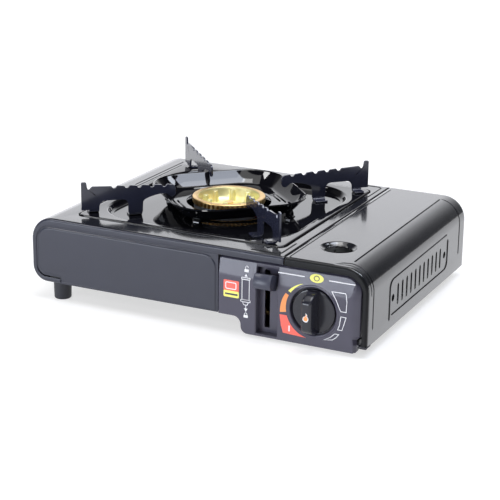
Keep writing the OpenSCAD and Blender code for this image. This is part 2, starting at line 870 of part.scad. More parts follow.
module pusher_studs() {
    color(zinc_plate)
    for (y = stud_ys) {
        bar_x(y, 50.5, pusher_x - 0.8, partition_x + sheet + 0.6, stud_r);
        bar_x(y, 50.5, pusher_x - 1.6, pusher_x - 0.4, 4.5);
        bar_x(y, 50.5, pusher_x + pusher_t + 0.4, partition_x, 3.6);
    }
}

// ---------- cartridge cover ----------

// Ear of the cartridge cover that turns on a hinge pin
module cover_ear(y0, y1) {
    difference() {
        union() {
            bar_y(hinge_x, hinge_h, y0, y1, 4);
            block([hinge_x, y0, hinge_h - 1.2], [case_right - 0.4, y1, hinge_h + 4]);
        }
        bar_y(hinge_x, hinge_h, y0 - 1, y1 + 1, hinge_pin_r + 0.06);
    }
}

module cartridge_cover() {
    hole = [121.8, front_y + 49.5];
    hole_r = 12.3;
    dish_r = 17;
    dish_depth = 3;
    vent_pitch = 11.25;
    vent_z = [28, 48];
    color(steel_dark)
    difference() {
        union() {
            difference() {
                xz(front_y, rear_y) polygon(right_outline(0));
                xz(front_y - 1, rear_y + 1) polygon(right_outline(sheet, 1));
                translate([hole[0], hole[1], 60]) cylinder(h = 30, r = dish_r - 0.5);
            }
            for (y0 = [front_y, rear_y - sheet])
                xz(y0, y0 + sheet) difference() {
                    polygon(right_outline(0));
                    polygon(right_inner(0));
                }
            // folded lip along the seam
            block([cover_left_x, front_y + 0.4, top_h - 6],
                [cover_left_x + sheet, rear_y - 2.5, top_h - 0.1]);
            // dished finger hole
            translate([hole[0], hole[1], 0]) rotate_extrude() polygon([
                [dish_r, top_h], [dish_r, top_h - sheet], [hole_r, top_h - dish_depth - sheet],
                [hole_r, top_h - dish_depth]
            ]);
            cover_ear(inner_front_y - 1.5, inner_front_y - 0.3);
            cover_ear(rear_y - 9.9, rear_y - 8.7);
        }
        // side vents
        for (i = [-5:5])
            block([case_right - 3, burner_y + i * vent_pitch - 1.5, vent_z[0]],
                [case_right + 1, burner_y + i * vent_pitch + 1.5, vent_z[1]]);
        for (side = [-1, 1])
            bar_x(burner_y + side * 68.5, 38, case_right - 3, case_right + 1, 2.4);
    }
}

module cover_hinge_pins() {
    color(zinc_plate) {
        bar_y(hinge_x, hinge_h, inner_front_y - 1.9, inner_front_y + 2, hinge_pin_r);
        bar_y(hinge_x, hinge_h, inner_front_y - 3, inner_front_y - 1.8, 3.2);
        bar_y(hinge_x, hinge_h, rear_y - 12.2, rear_y - 8.3, hinge_pin_r);
        bar_y(hinge_x, hinge_h, rear_y - 8.4, rear_y - 7.2, 3.2);
    }
}

// ---------- pan stand ----------

module drip_tray() {
    slope = 3;
    under = tray_floor_h - sheet;
    color(enamel)
    difference() {
        at_burner() {
            difference() {
                union() {
                    square_slab(tray_half, tray_corner_r, tray_h - sheet, tray_h);
                    square_funnel(well_half - slope + sheet, well_r - slope + sheet, under,
                        well_half + sheet, well_r + sheet, tray_h);
                }
                square_funnel(well_half - slope, well_r - slope, tray_floor_h,
                    well_half, well_r, tray_h + 0.02);
                translate([0, 0, under - 1]) cylinder(h = 4, r = tray_hole_r);
            }
            difference() {
                square_slab(tray_half, tray_corner_r, recess_h + 0.05, tray_h - 0.1);
                square_slab(tray_half - sheet, tray_corner_r - sheet, recess_h - 1, tray_h);
            }
        }
        for (angle = arm_angles)
            at_burner(angle)
                for (u = rivet_u)
                    translate([u, -foot_w / 2 - 1, under - 2])
                        cylinder(h = tray_h - under + 4, r = rivet_r + 0.02, $fn = 16);
    }
}

// Top of a pan support's bar, which falls slightly towards the burner
arm_mid_u = 95;
arm_fall = 0.045;
function arm_top(u) = arm_h + arm_fall * (u - arm_mid_u);

// Outline of a pan support: out from the burner's axis, and up
tooth_pitch = 12.2;
tooth_depth = 2.2;
arm_teeth = [for (i = [0:4]) 114 - i * tooth_pitch];
arm_profile = concat(
    [[arm_out, tray_h], [arm_out, post_h - 1], [arm_out - 1, post_h], [arm_out - 4.5, post_h],
     [arm_out - 5.3, post_h - 0.8], [arm_out - 6, arm_h], [arm_out - 7.6, arm_h - 1],
     [arm_out - 9.4, arm_h - 0.4], [arm_out - 11, arm_top(arm_out - 11)]],
    [for (u = arm_teeth)
        each [[u + 3.1, arm_top(u)], [u + 1.3, arm_top(u) - tooth_depth],
            [u - 1.3, arm_top(u) - tooth_depth], [u - 3.1, arm_top(u)]]],
    arc_pts(arm_in + 5, arm_top(arm_in) - 5, 5, 80, 180, 5),
    arc_pts(arm_in + 4, 95.4, 4, 180, 300, 5),
    [[rim_notch[0], rim_notch[2] - 1.4], [rim_notch[0] + 1, rim_notch[2]],
     [rim_notch[1], rim_notch[2]], [inner_leg[0] - 4, 93.6], [inner_leg[0], 91],
     [inner_leg[0], tray_floor_h], [inner_leg[1], tray_floor_h],
     [inner_leg[1], window_top - 6]],
    arc_pts(inner_leg[1] + 5, window_top - 5, 5, 180, 90, 4),
    arc_pts(outer_leg - 5, window_top - 5, 5, 90, 0, 4),
    [[outer_leg, tray_h]]
);

module pan_support(angle) {
    color(enamel)
    at_burner(angle)
        difference() {
            union() {
                xz(-arm_t / 2, arm_t / 2) polygon(arm_profile);
                block([outer_leg, -foot_w - arm_t / 2, tray_h],
                    [arm_out - 8, arm_t / 2, tray_h + foot_t]);
                block([inner_leg[0] + 1, -foot_w - arm_t / 2, tray_floor_h],
                    [inner_leg[1] - 1, arm_t / 2, tray_floor_h + foot_t]);
            }
            for (u = rivet_u)
                translate([u, -foot_w / 2 - 1, tray_floor_h - 1])
                    cylinder(h = 20, r = rivet_r + 0.02, $fn = 16);
        }
}

module pan_support_front_left() { pan_support(arm_angles[0]); }
module pan_support_front_right() { pan_support(arm_angles[1]); }
module pan_support_rear_left() { pan_support(arm_angles[2]); }
module pan_support_rear_right() { pan_support(arm_angles[3]); }

module support_rivets() {
    color(zinc_plate)
    for (angle = arm_angles)
        at_burner(angle)
            for (spot = [[rivet_u[0], tray_h], [rivet_u[1], tray_floor_h]])
                translate([spot[0], -foot_w / 2 - 1, spot[1]]) {
                    translate([0, 0, -sheet - 0.4])
                        cylinder(h = sheet + foot_t + 0.4, r = rivet_r, $fn = 16);
                    translate([0, 0, foot_t]) cylinder(h = 0.8, r = 2.8, $fn = 24);
                    translate([0, 0, -sheet - 1]) cylinder(h = 0.8, r = 2.4, $fn = 24);
                }
}

module wind_shield() {
    wall = 1;
    leg_u = 65;
    color(enamel)
    at_burner(45)
        difference() {
            union() {
                square_funnel(shield_floor_half, 20, shield_floor_h, shield_half, shield_r, shield_h);
                square_slab(shield_half + 0.8, shield_r + 0.8, shield_h - 0.6, shield_h + 0.6);
                for (i = [0:3])
                    rotate(45 + 90 * i)
                        block([leg_u - 3.5, -3.5, tray_floor_h + 0.05], [leg_u + 2.5, 3.5, 84.5]);
            }
            square_funnel(shield_floor_half - wall, 19, shield_floor_h + wall,
                shield_half - wall, shield_r - wall, shield_h + 0.61);
            translate([0, 0, shield_floor_h - 1]) cylinder(h = 4, r = shield_hole_r);
        }
}

bottom_case();
top_cover();
front_panel();
rear_panel();
bay_partition();
front_bulkhead();
control_fascia();
left_feet();
right_feet();
rear_screws();
cartridge_cradle();
notch_guide();
gas_regulator();
inlet_seal();
gas_pipe();
injector();
mixing_tube();
burner_bracket();
burner_base();
burner_screws();
burner_head();
head_screw();
piezo_igniter();
igniter_wire();
electrode_insulator();
igniter_electrode();
control_knob();
valve_shaft();
ignition_cam();
lock_lever();
lever_knob();
lever_pivot();
lever_washer();
cartridge_pusher();
pusher_studs();
cartridge_cover();
cover_hinge_pins();
drip_tray();
pan_support_front_left();
pan_support_front_right();
pan_support_rear_left();
pan_support_rear_right();
support_rivets();
wind_shield();
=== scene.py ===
import json
import math

import bmesh
import bpy
from mathutils import Matrix, Vector, geometry


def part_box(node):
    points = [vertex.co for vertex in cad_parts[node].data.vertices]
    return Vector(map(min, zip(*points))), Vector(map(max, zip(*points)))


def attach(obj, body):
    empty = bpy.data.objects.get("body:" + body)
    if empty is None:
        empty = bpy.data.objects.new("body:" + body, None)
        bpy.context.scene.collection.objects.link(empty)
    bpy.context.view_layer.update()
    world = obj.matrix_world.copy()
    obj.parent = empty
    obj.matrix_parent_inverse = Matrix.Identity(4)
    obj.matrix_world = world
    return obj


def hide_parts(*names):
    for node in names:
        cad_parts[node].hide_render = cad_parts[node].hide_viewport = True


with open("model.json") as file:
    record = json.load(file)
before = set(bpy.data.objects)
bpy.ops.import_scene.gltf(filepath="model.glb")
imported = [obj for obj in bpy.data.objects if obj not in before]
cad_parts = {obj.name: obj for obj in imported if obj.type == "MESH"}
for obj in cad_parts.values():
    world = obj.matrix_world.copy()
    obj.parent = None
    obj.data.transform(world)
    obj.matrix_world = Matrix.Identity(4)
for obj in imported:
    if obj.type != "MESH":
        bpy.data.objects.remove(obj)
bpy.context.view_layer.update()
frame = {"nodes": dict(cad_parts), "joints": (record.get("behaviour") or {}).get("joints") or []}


# ---------------------------------------------------------------- places from the frame, in mm
def box_of(node):
    """Lowest and highest corner of a CAD node."""
    return [[round(v * 1000, 2) for v in corner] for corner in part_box(node)]


def joint_of(name):
    """A joint's place in mm, and its largest angle."""
    joint = next(j for j in frame["joints"] if j["name"] == name)
    return [round(v * 1000, 2) for v in joint["pos_m"]], joint["range_deg"][1]


(LEFT, FRONT, LOW), (SEAM, REAR, TOP) = box_of("top_cover")
RIGHT = box_of("cartridge_cover")[1][0]
HEAD_LOW, HEAD_HIGH = box_of("burner_head")
BX, BY = [(HEAD_LOW[i] + HEAD_HIGH[i]) / 2 for i in (0, 1)]     # burner axis
(KX, _, KZ), _ = joint_of("knob_turn")                          # gas knob axis

# ---------------------------------------------------------------- sizes, in mm
SHEET = 0.8                  # thickness of the sheet steel
EDGE_R, LOW_R = 22.5, 15.5   # upper and lower corner of the folded covers
FOLD_R = 3.0                 # bend between a cover and its front band
WRAP_LOW = 17.2              # underside of the sheet that wraps round the left end
LIP = -140.0                 # where that sheet ends
BAND_TOP, BAND_SIDE = 7.5, 5.3
SEAM_GAP = 1.2


# ---------------------------------------------------------------- materials
MATERIALS = {}               # by name


def linear(c):
    """sRGB 0-255 to linear."""
    return tuple((v / 255 / 12.92) if v / 255 <= 0.04045 else ((v / 255 + 0.055) / 1.055) ** 2.4
                 for v in c)


def map_range(tree, value, a, b, lo, hi, smooth=False):
    """Socket that goes from lo to hi while value goes from a to b."""
    node = tree.nodes.new("ShaderNodeMapRange")
    if smooth:
        node.interpolation_type = "SMOOTHSTEP"
    for key, v in (("From Min", a), ("From Max", b), ("To Min", lo), ("To Max", hi)):
        node.inputs[key].default_value = v
    tree.links.new(value, node.inputs["Value"])
    return node.outputs["Result"]


def combined(tree, operation, a, b):
    """Socket that adds or multiplies socket a and b, which is a socket or a number."""
    node = tree.nodes.new("ShaderNodeMath")
    node.operation = operation
    tree.links.new(a, node.inputs[0])
    if isinstance(b, float):
        node.inputs[1].default_value = b
    else:
        tree.links.new(b, node.inputs[1])
    return node.outputs[0]


def material(name, rgb, rough, metal=0.0, coat=0.0, grain=400.0, bump=0.05, wave=0.0,
             vary=0.12, rough_vary=0.12, streak=0.0, spec=0.5, coat_rough=0.05, marks=0.12):
    """Procedural surface: colour clouds, uneven gloss, fine grain, slow waviness, rub marks.
    It goes into MATERIALS under its name."""
    m = bpy.data.materials.new(name)
    m.use_nodes = True
    tree = m.node_tree
    tree.nodes.clear()
    new, link = tree.nodes.new, tree.links.new
    out = new("ShaderNodeOutputMaterial")
    shader = new("ShaderNodeBsdfPrincipled")
    link(shader.outputs["BSDF"], out.inputs["Surface"])
    coords = new("ShaderNodeTexCoord")

    def noise(scale, detail, stretch=None):
        n = new("ShaderNodeTexNoise")
        n.inputs["Scale"].default_value = scale
        n.inputs["Detail"].default_value = detail
        where = coords.outputs["Object"]
        if stretch:
            mapping = new("ShaderNodeMapping")
            mapping.inputs["Scale"].default_value = stretch
            link(where, mapping.inputs["Vector"])
            where = mapping.outputs["Vector"]
        link(where, n.inputs["Vector"])
        return n.outputs["Fac"]

    def ranged(fac, lo, hi, a=0.3, b=0.7):
        return map_range(tree, fac, a, b, lo, hi)

    def bumps(strength, distance, height, under=None):
        b = new("ShaderNodeBump")
        b.inputs["Strength"].default_value = strength
        b.inputs["Distance"].default_value = distance
        link(height, b.inputs["Height"])
        if under is not None:
            link(under, b.inputs["Normal"])
        return b.outputs["Normal"]

    base = linear(rgb)
    mix = new("ShaderNodeMix")
    mix.data_type = "RGBA"
    mix.inputs["A"].default_value = (*[c * (1 - vary) for c in base], 1)
    mix.inputs["B"].default_value = (*[min(1, c * (1 + vary)) for c in base], 1)
    link(ranged(noise(38.0, 4.0), 0, 1), mix.inputs["Factor"])
    rub = new("ShaderNodeMix")
    rub.data_type = "RGBA"
    rub.inputs["B"].default_value = (*[min(1, c * 1.5 + 0.02) for c in base], 1)
    link(mix.outputs["Result"], rub.inputs["A"])
    rubs = ranged(noise(90.0, 6.0, (1.0, 0.12, 1.0)), 0.0, marks * 2.5 + streak, 0.68, 0.78)
    link(rubs, rub.inputs["Factor"])
    link(rub.outputs["Result"], shader.inputs["Base Color"])
    gloss = ranged(noise(60.0, 5.0), rough * (1 - rough_vary), rough * (1 + rough_vary))
    worn = combined(tree, "MULTIPLY", rubs, 0.3)
    link(combined(tree, "ADD", gloss, worn), shader.inputs["Roughness"])
    normal = bumps(bump, 0.0004, noise(grain * 4, 2.0))
    if wave:
        normal = bumps(wave, 0.002, noise(14.0, 1.0), normal)
    link(normal, shader.inputs["Normal"])
    shader.inputs["Metallic"].default_value = metal
    shader.inputs["Specular IOR Level"].default_value = spec
    shader.inputs["Coat Weight"].default_value = coat
    shader.inputs["Coat Roughness"].default_value = coat_rough
    m.diffuse_color = (*base, 1)
    MATERIALS[name] = m
    return m


material("cover_paint", (27, 28, 32), 0.17, coat=0.7, bump=0.03, wave=0.02, coat_rough=0.08,
         vary=0.08, marks=0.03)
# painted shade: a dark, dull paint that stands in for the shade in the pressed ribs' creases and on the
# cartridge cover's front band
material("painted_shade", (13, 14, 17), 0.4, bump=0.03, vary=0.08, marks=0.0, spec=0.25)
material("case_paint", (24, 25, 28), 0.42, bump=0.1, marks=0.05)
material("panel_paint", (27, 30, 48), 0.42, bump=0.1, grain=700, vary=0.05, marks=0.03, coat=0.35,
         coat_rough=0.16)
material("fascia_plastic", (72, 70, 84), 0.24, bump=0.05, grain=900, vary=0.05, marks=0.03)
material("knob_plastic", (34, 34, 42), 0.2, bump=0.04, grain=900, vary=0.08, marks=0.04)
material("lever_plastic", (58, 60, 74), 0.36, bump=0.05, grain=900, vary=0.06, marks=0.03)
material("foot_plastic", (26, 28, 38), 0.45, marks=0.04, bump=0.2, grain=900)
material("enamel", (14, 14, 18), 0.05, marks=0.02, coat=0.3, bump=0.02, wave=0.16, coat_rough=0.03,
         vary=0.2, rough_vary=0.3)
material("support_enamel", (42, 44, 60), 0.18, marks=0.03, coat=0.5, bump=0.06, wave=0.1,
         coat_rough=0.08, vary=0.15)
material("zinc_plate", (178, 180, 184), 0.34, metal=1.0, bump=0.05, streak=0.2)
material("cast_zinc", (160, 161, 165), 0.5, metal=1.0, bump=0.3, grain=300)
material("brass", (240, 204, 142), 0.34, metal=1.0, bump=0.06, streak=0.05)
material("brass_inside", (255, 240, 186), 0.5, metal=1.0, bump=0.05)
material("seal_rubber", (22, 22, 22), 0.7, bump=0.15)
material("igniter_plastic", (205, 200, 190), 0.35, bump=0.05)
material("wire_sleeve", (150, 34, 30), 0.5, bump=0.08)
material("insulator_ceramic", (238, 234, 224), 0.2, coat=0.5, bump=0.04)
material("print_white", (235, 235, 238), 0.45, bump=0.03, vary=0.02)
material("print_yellow", (244, 240, 120), 0.45, bump=0.03, vary=0.03)
material("print_orange", (250, 158, 92), 0.45, bump=0.03, vary=0.03)
material("print_red", (246, 106, 92), 0.45, bump=0.03, vary=0.03)
material("print_dark", (70, 68, 78), 0.45, bump=0.03, vary=0.03)


# ---------------------------------------------------------------- mesh helpers
def arc(cx, cy, r, a0, a1, n):
    """n + 1 points along an arc, angles in degrees."""
    turns = [math.radians(a0 + (a1 - a0) * i / n) for i in range(n + 1)]
    return [(cx + r * math.cos(t), cy + r * math.sin(t)) for t in turns]


def ellipse(cx, cy, rx, ry, n):
    """n points around an ellipse or a circle."""
    turns = [2 * math.pi * i / n for i in range(n)]
    return [(cx + rx * math.cos(t), cy + ry * math.sin(t)) for t in turns]


def rounded_square(h, r, n):
    """Rounded square outline; always 4 * (n + 1) points, so that any two can be skinned."""
    r = min(r, h)
    return (arc(h - r, h - r, r, 0, 90, n) + arc(r - h, h - r, r, 90, 180, n)
            + arc(r - h, r - h, r, 180, 270, n) + arc(h - r, r - h, r, 270, 360, n))


class Shape:
    """Points in mm and faces."""

    def __init__(self):
        self.points, self.faces = [], []

    def add(self, pts):
        """Adds points and returns their numbers."""
        i = len(self.points)
        self.points += [tuple(p) for p in pts]
        return list(range(i, i + len(pts)))

    def skin(self, rows, closed=True, wrap=False):
        """Quads between successive rows of points or of point numbers."""
        rows = [r if isinstance(r[0], int) else self.add(r) for r in rows]
        pairs = list(zip(rows, rows[1:])) + ([(rows[-1], rows[0])] if wrap else [])
        for a, b in pairs:
            n = len(a)
            for i in range(n if closed else n - 1):
                j = (i + 1) % n
                self.faces.append((a[i], a[j], b[j], b[i]))
        return rows

    def fill(self, *loops):
        """Flat face inside the first loop and outside the others."""
        loops = [r if isinstance(r[0], int) else self.add(r) for r in loops]
        flat = [i for loop in loops for i in loop]
        for t in geometry.tessellate_polygon([[Vector(self.points[i]) for i in loop] for loop in loops]):
            self.faces.append(tuple(flat[k] for k in t))
        return loops

    def bead(self, pts, normals, width, height):
        """Rounded pressed rib along a line on a surface, fading out at both ends."""
        n = len(pts)
        rows = []
        for k in range(n):
            a, b = Vector(pts[max(k - 1, 0)]), Vector(pts[min(k + 1, n - 1)])
            up = Vector(normals[k]).normalized()
            side = (b - a).cross(up).normalized()
            ease = min(1.0, 0.02 + min(k, n - 1 - k) * 0.5)
            rows.append([Vector(pts[k]) + side * (width / 2 * s * (0.3 + 0.7 * ease))
                         + up * (height * ease * (1 + math.cos(math.pi * s)) / 2 - 0.03)
                         for s in (-1, -0.66, -0.33, 0, 0.33, 0.66, 1)])
        self.skin(rows, closed=False)

    def cap(self, loop):
        """One face that closes a loop of point numbers."""
        self.faces.append(tuple(loop))


def make(name, shape, mat, body, stands_for=(), angle=35, solid=0.0, bevel=0.0,
         up=None, even=False, band=None):
    """Turns a Shape into a shown piece. up = a direction that the open surface's outside faces.
    band = material of the faces that lie in the front and rear planes, painted light: the shade and
    reflection of those faces are painted into it. solid and bevel in mm."""
    mesh = bpy.data.meshes.new(name)
    mesh.from_pydata([(x / 1000, y / 1000, z / 1000) for x, y, z in shape.points], [], shape.faces)
    bm = bmesh.new()
    bm.from_mesh(mesh)
    bmesh.ops.remove_doubles(bm, verts=bm.verts, dist=2e-6)
    bmesh.ops.recalc_face_normals(bm, faces=bm.faces)
    if up and sum(f.calc_area() * f.normal.dot(Vector(up)) for f in bm.faces) < 0:
        bmesh.ops.reverse_faces(bm, faces=bm.faces)
    bm.to_mesh(mesh)
    bm.free()
    for p in mesh.polygons:
        p.use_smooth = True
    mesh.set_sharp_from_angle(angle=math.radians(angle))
    ob = bpy.data.objects.new(name, mesh)
    bpy.context.scene.collection.objects.link(ob)
    mesh.materials.append(MATERIALS[mat])
    # faces near the front and rear planes get the band material: painted shade and painted reflection of
    # those faces
    if band:
        mesh.materials.append(MATERIALS[band])
        for p in mesh.polygons:
            y = p.center.y * 1000
            if abs(p.normal.y) > 0.45 and (y < FRONT + 4 or y > REAR - 4):
                p.material_index = 1
    if solid:
        modifier = ob.modifiers.new("thickness", "SOLIDIFY")
        modifier.thickness = solid / 1000
        modifier.offset = -1
    if bevel:
        modifier = ob.modifiers.new("edges", "BEVEL")
        modifier.width = bevel / 1000
        modifier.segments = 2
        modifier.limit_method = "ANGLE"
        modifier.angle_limit = math.radians(40)
    if even:
        modifier = ob.modifiers.new("normals", "WEIGHTED_NORMAL")
        modifier.weight = 60
        modifier.keep_sharp = True
    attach(ob, body)
    if stands_for:
        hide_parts(*stands_for)
    return ob


def around_burner(points, angle=0.0):
    """Points drawn around the burner's axis, turned and moved to it."""
    c, s = math.cos(math.radians(angle)), math.sin(math.radians(angle))
    return [(BX + x * c - y * s, BY + x * s + y * c, z) for x, y, z in points]


def ring(h, r, z, angle=0.0, n=10):
    """Rounded square around the burner's axis, at height z."""
    return around_burner([(x, y, z) for x, y in rounded_square(h, r, n)], angle)


# ---------------------------------------------------------------- folded sheet covers
# free edge of the band: (in from the edge, behind the front plane)
EDGE = [(0.0, 1.5), (0.0, 0.9), (0.35, 0.35), (0.9, 0.12)]


def cross_section(w):
    """Across the cover: (drawn in from the outline, behind the front plane), front half."""
    front = [(w - i, d) for i, d in EDGE]
    front += [(FOLD_R * (1 - math.sin(a)), 0.05 + FOLD_R * (1 - math.cos(a)))
              for a in map(math.radians, (8, 24, 42, 60, 76, 90))]
    return front + [(0.0, 6.0)]


def folded_cover(shape, path):
    """Grid of point numbers of a cover; path: (x, z, outward normal x, z, band width)."""
    rows = []
    depth = REAR - FRONT
    for x, z, nx, nz, w in path:
        half = cross_section(w)
        row = [(i, FRONT + d) for i, d in half] + [(i, FRONT + depth - d) for i, d in reversed(half)]
        rows.append(shape.add([(x - nx * i, y, z - nz * i) for i, y in row]))
    return rows


def grid_faces(shape, rows, skip):
    """Quads of a grid, without the middle strip after each path point named in skip."""
    mid = len(rows[0]) // 2 - 1
    for k in range(len(rows) - 1):
        for i in range(len(rows[0]) - 1):
            if k in skip and i == mid:
                continue
            shape.faces.append((rows[k][i], rows[k][i + 1], rows[k + 1][i + 1], rows[k + 1][i]))
    return mid


def around_corner(cx, cz, r, a0, a1, n, w0, w1):
    """Path of a cover round a corner, while its band's width goes from w0 to w1."""
    out = []
    for i in range(n + 1):
        t = i / n
        a = math.radians(a0 + (a1 - a0) * t)
        out.append((cx + r * math.cos(a), cz + r * math.sin(a), math.cos(a), math.sin(a),
                    w0 + (w1 - w0) * t))
    return out


def top_cover():
    """Sheet over the burner side, wrapped round the left end, with the recess for the drip tray."""
    s = Shape()
    path = [(SEAM, TOP, 0, 1, BAND_TOP), (88.5, TOP, 0, 1, BAND_TOP), (-146, TOP, 0, 1, BAND_TOP)]
    path += around_corner(LEFT + EDGE_R, TOP - EDGE_R, EDGE_R, 90, 180, 16, BAND_TOP, BAND_SIDE)
    path += around_corner(LEFT + LOW_R, WRAP_LOW + LOW_R, LOW_R, 180, 270, 14, BAND_SIDE, BAND_SIDE)
    path += [(LIP, WRAP_LOW, 0, -1, BAND_SIDE)]
    rows = folded_cover(s, path)
    mid = grid_faces(s, rows, skip=(1,))
    hole = ring(108.6, 9.6, TOP)
    a, b = rows[1], rows[2]
    loops = s.fill([a[mid], a[mid + 1], b[mid + 1], b[mid]], hole)
    s.skin([loops[1]] + [ring(h, r, z) for h, r, z in (
        (107.9, 8.9, 80.3), (107.45, 8.4, 79.8), (107.3, 8.3, 79.2), (107.3, 8.3, 70.2),
        (106.6, 7.6, 69.2), (60, 48, 69), (48, 48, 69))])
    # edge folded down at the seam
    edge = rows[0][10:-10]
    s.skin([edge, [(SEAM - 0.1, s.points[i][1], TOP - 5.5) for i in edge]], closed=False)
    return s


def bar_line(points, r):
    """Polyline with rounded corners; points are 3-D."""
    n = 6
    out = [Vector(points[0])]
    for k in range(1, len(points) - 1):
        p, a, b = Vector(points[k]), Vector(points[k - 1]), Vector(points[k + 1])
        da, db = (a - p).normalized(), (b - p).normalized()
        q0, q1 = p + da * r, p + db * r
        out += [(1 - t) ** 2 * q0 + 2 * t * (1 - t) * p + t * t * q1
                for t in [i / n for i in range(n + 1)]]
    out.append(Vector(points[-1]))
    # extra points near both ends, so that the ribs fade out over a short length
    for at in (0, -1):
        a, b = (out[0], out[1]) if at == 0 else (out[-1], out[-2])
        d = (b - a).normalized()
        extra = [a + d * 0.9, a + d * 1.8]
        out = [a] + extra + out[1:] if at == 0 else out[:-1] + list(reversed(extra)) + [a]
    return out


def flat_bead(s, points, normal, width, height, r=4.0):
    """Pressed rib on a flat face."""
    line = bar_line(points, r)
    s.bead(line, [normal] * len(line), width, height)


def lid_corner(y, z_end, lead):
    """Line on the cartridge cover: over its rounded edge at depth y and down its side."""
    cx, cz = RIGHT - EDGE_R, TOP - EDGE_R
    pts, normals = [], []
    for x, yy in lead:
        pts.append((x, yy, TOP))
        normals.append((0, 0, 1))
    for i in range(13):
        a = math.radians(88 - 88 * i / 12)
        pts.append((cx + EDGE_R * math.cos(a), y, cz + EDGE_R * math.sin(a)))
        normals.append((math.cos(a), 0, math.sin(a)))
    for z in [z for z in (50, 40) if z > z_end + 2] + [z_end + 2, z_end + 1, z_end]:
        pts.append((RIGHT, y, z))
        normals.append((1, 0, 0))
    return pts, normals


FINGER_HOLE = (121.8, -70.5)
VENT_LOW, VENT_HIGH, VENT_R, VENT_PITCH = 30.0, 46.0, 2.0, 11.25


def cartridge_cover():
    """Sheet over the cartridge bay, with a dished finger hole and side vents."""
    s = Shape()
    x0 = SEAM + SEAM_GAP
    path = [(x0, TOP, 0, 1, BAND_TOP), (94.0, TOP, 0, 1, BAND_TOP), (146.0, TOP, 0, 1, BAND_TOP)]
    path += around_corner(RIGHT - EDGE_R, TOP - EDGE_R, EDGE_R, 90, 0, 16, BAND_TOP, BAND_SIDE)
    path += [(RIGHT, 53.0, 1, 0, BAND_SIDE), (RIGHT, 24.0, 1, 0, BAND_SIDE),
             (RIGHT, 10.6, 1, 0, BAND_SIDE)]
    rows = folded_cover(s, path)
    top_k, side_k = 1, len(path) - 3
    mid = grid_faces(s, rows, skip=(top_k, side_k))

    def circle(r, z):
        return [(x, y, z) for x, y in ellipse(*FINGER_HOLE, r, r, 96)]

    a, b = rows[top_k], rows[top_k + 1]
    loops = s.fill([a[mid], a[mid + 1], b[mid + 1], b[mid]], circle(17.4, TOP))
    s.skin([loops[1]] + [circle(r, z) for r, z in (
        (16.9, 80.42), (16.2, 80.1), (15.4, 79.4), (14.4, 78.5), (13.4, 78.0), (12.8, 77.7),
        (12.4, 77.2), (12.3, 76.6))])
    slots = []
    for i in range(-5, 6):
        y = BY + i * VENT_PITCH
        line = arc(y, VENT_HIGH, VENT_R, 0, 180, 5) + arc(y, VENT_LOW, VENT_R, 180, 360, 5)
        slots.append([(RIGHT, yy, zz) for yy, zz in line])
    for side in (-1, 1):
        slots.append([(RIGHT, y, z) for y, z in ellipse(BY + side * 68.5, 38, 3.3, 3.4, 16)])
    a, b = rows[side_k], rows[side_k + 1]
    loops = s.fill([a[mid], a[mid + 1], b[mid + 1], b[mid]], *slots)
    for loop in loops[1:]:
        s.skin([loop, [(RIGHT - 0.6, s.points[i][1], s.points[i][2]) for i in loop]])
    return s


def lid_ribs():
    """Pressed lines of the cartridge cover: on its top, over its edge and around the vents."""
    s = Shape()
    up, out = (0, 0, 1), (1, 0, 0)
    flat_bead(s, [(94.7, 128, TOP), (94.7, -116.8, TOP), (138, -116.8, TOP)], up, 1.6, 0.4, r=3)
    flat_bead(s, [(149.8, -102, TOP), (149.8, 118, TOP)], up, 1.9, 0.7)
    line, normals = lid_corner(119.5, 26, [])
    s.bead(line, normals, 1.8, 0.5)
    line, normals = lid_corner(-107.5, 23, [(136.5, -114.5), (139, -112.5), (143, -108.8)])
    s.bead(line, normals, 1.8, 0.5)
    line, normals = lid_corner(-112.5, 55, [(139.5, -116.5), (142.5, -114.0)])
    s.bead(line, normals, 1.4, 0.4)
    flat_bead(s, [(RIGHT, -68, 18), (RIGHT, -68, 56), (RIGHT, 82.5, 57)], out, 2.0, 0.8, r=9)
    flat_bead(s, [(RIGHT, 85.5, 52), (RIGHT, 85.5, 22.5), (RIGHT, -63, 22.5)], out, 2.0, 0.8, r=9)
    return s


def cover_ribs():
    """Pressed lines of the top cover."""
    s = Shape()
    up = (0, 0, 1)
    flat_bead(s, [(-139.5, 20, TOP), (-139.5, 123, TOP)], up, 1.8, 0.45)
    flat_bead(s, [(55, -112.6, TOP), (84.3, -112.6, TOP), (84.3, -78, TOP)], up, 2.4, 0.6, r=5)
    flat_bead(s, [(58, 130, TOP), (84.3, 130, TOP), (84.3, 90, TOP)], up, 1.8, 0.5, r=5)
    return s


# ---------------------------------------------------------------- front panel and fascia
PANEL_RIGHT, PANEL_GAP = 25.4, 0.8
FASCIA_LEFT = 26.8


def panel_outline(t):
    """Outline of the front panel's raised field, drawn in by t."""
    g = PANEL_GAP
    return (arc(LEFT + BAND_SIDE + 15, TOP - BAND_TOP - 15, 15 - g - t, 90, 180, 10)
            + arc(LEFT + BAND_SIDE + 10, LOW + BAND_SIDE + 10, 10 - g - t, 180, 270, 10)
            + [(LIP + g + t, LOW + BAND_SIDE + g + t), (LIP + g + t, LOW + t),
               (PANEL_RIGHT - t, LOW + t)]
            + arc(PANEL_RIGHT - 13, TOP - BAND_TOP - g - 13, 13 - t, 0, 90, 10))


def panel_backing():
    """Outline of the flat sheet that the panel's raised field stands out from."""
    return panel_outline(-PANEL_GAP)[:24] + [(FASCIA_LEFT - 0.1, LOW), (FASCIA_LEFT - 0.1, TOP - BAND_TOP)]


def front_panel():
    """Flat sheet with a raised field."""
    s = Shape()
    sheet = s.skin([[(x, FRONT + d, z) for x, z in panel_backing()] for d in (1.7, 0.9)])
    s.fill(sheet[0])
    s.fill(sheet[1])
    steps = [(0, 1.8), (0, 1.5), (0.2, 1.25), (1.3, 0.2), (1.7, 0.03), (2.4, 0.0)]
    rows = s.skin([[(x, FRONT + d, z) for x, z in panel_outline(t)] for t, d in steps])
    s.fill(rows[-1])
    s.cap(rows[0])
    return s


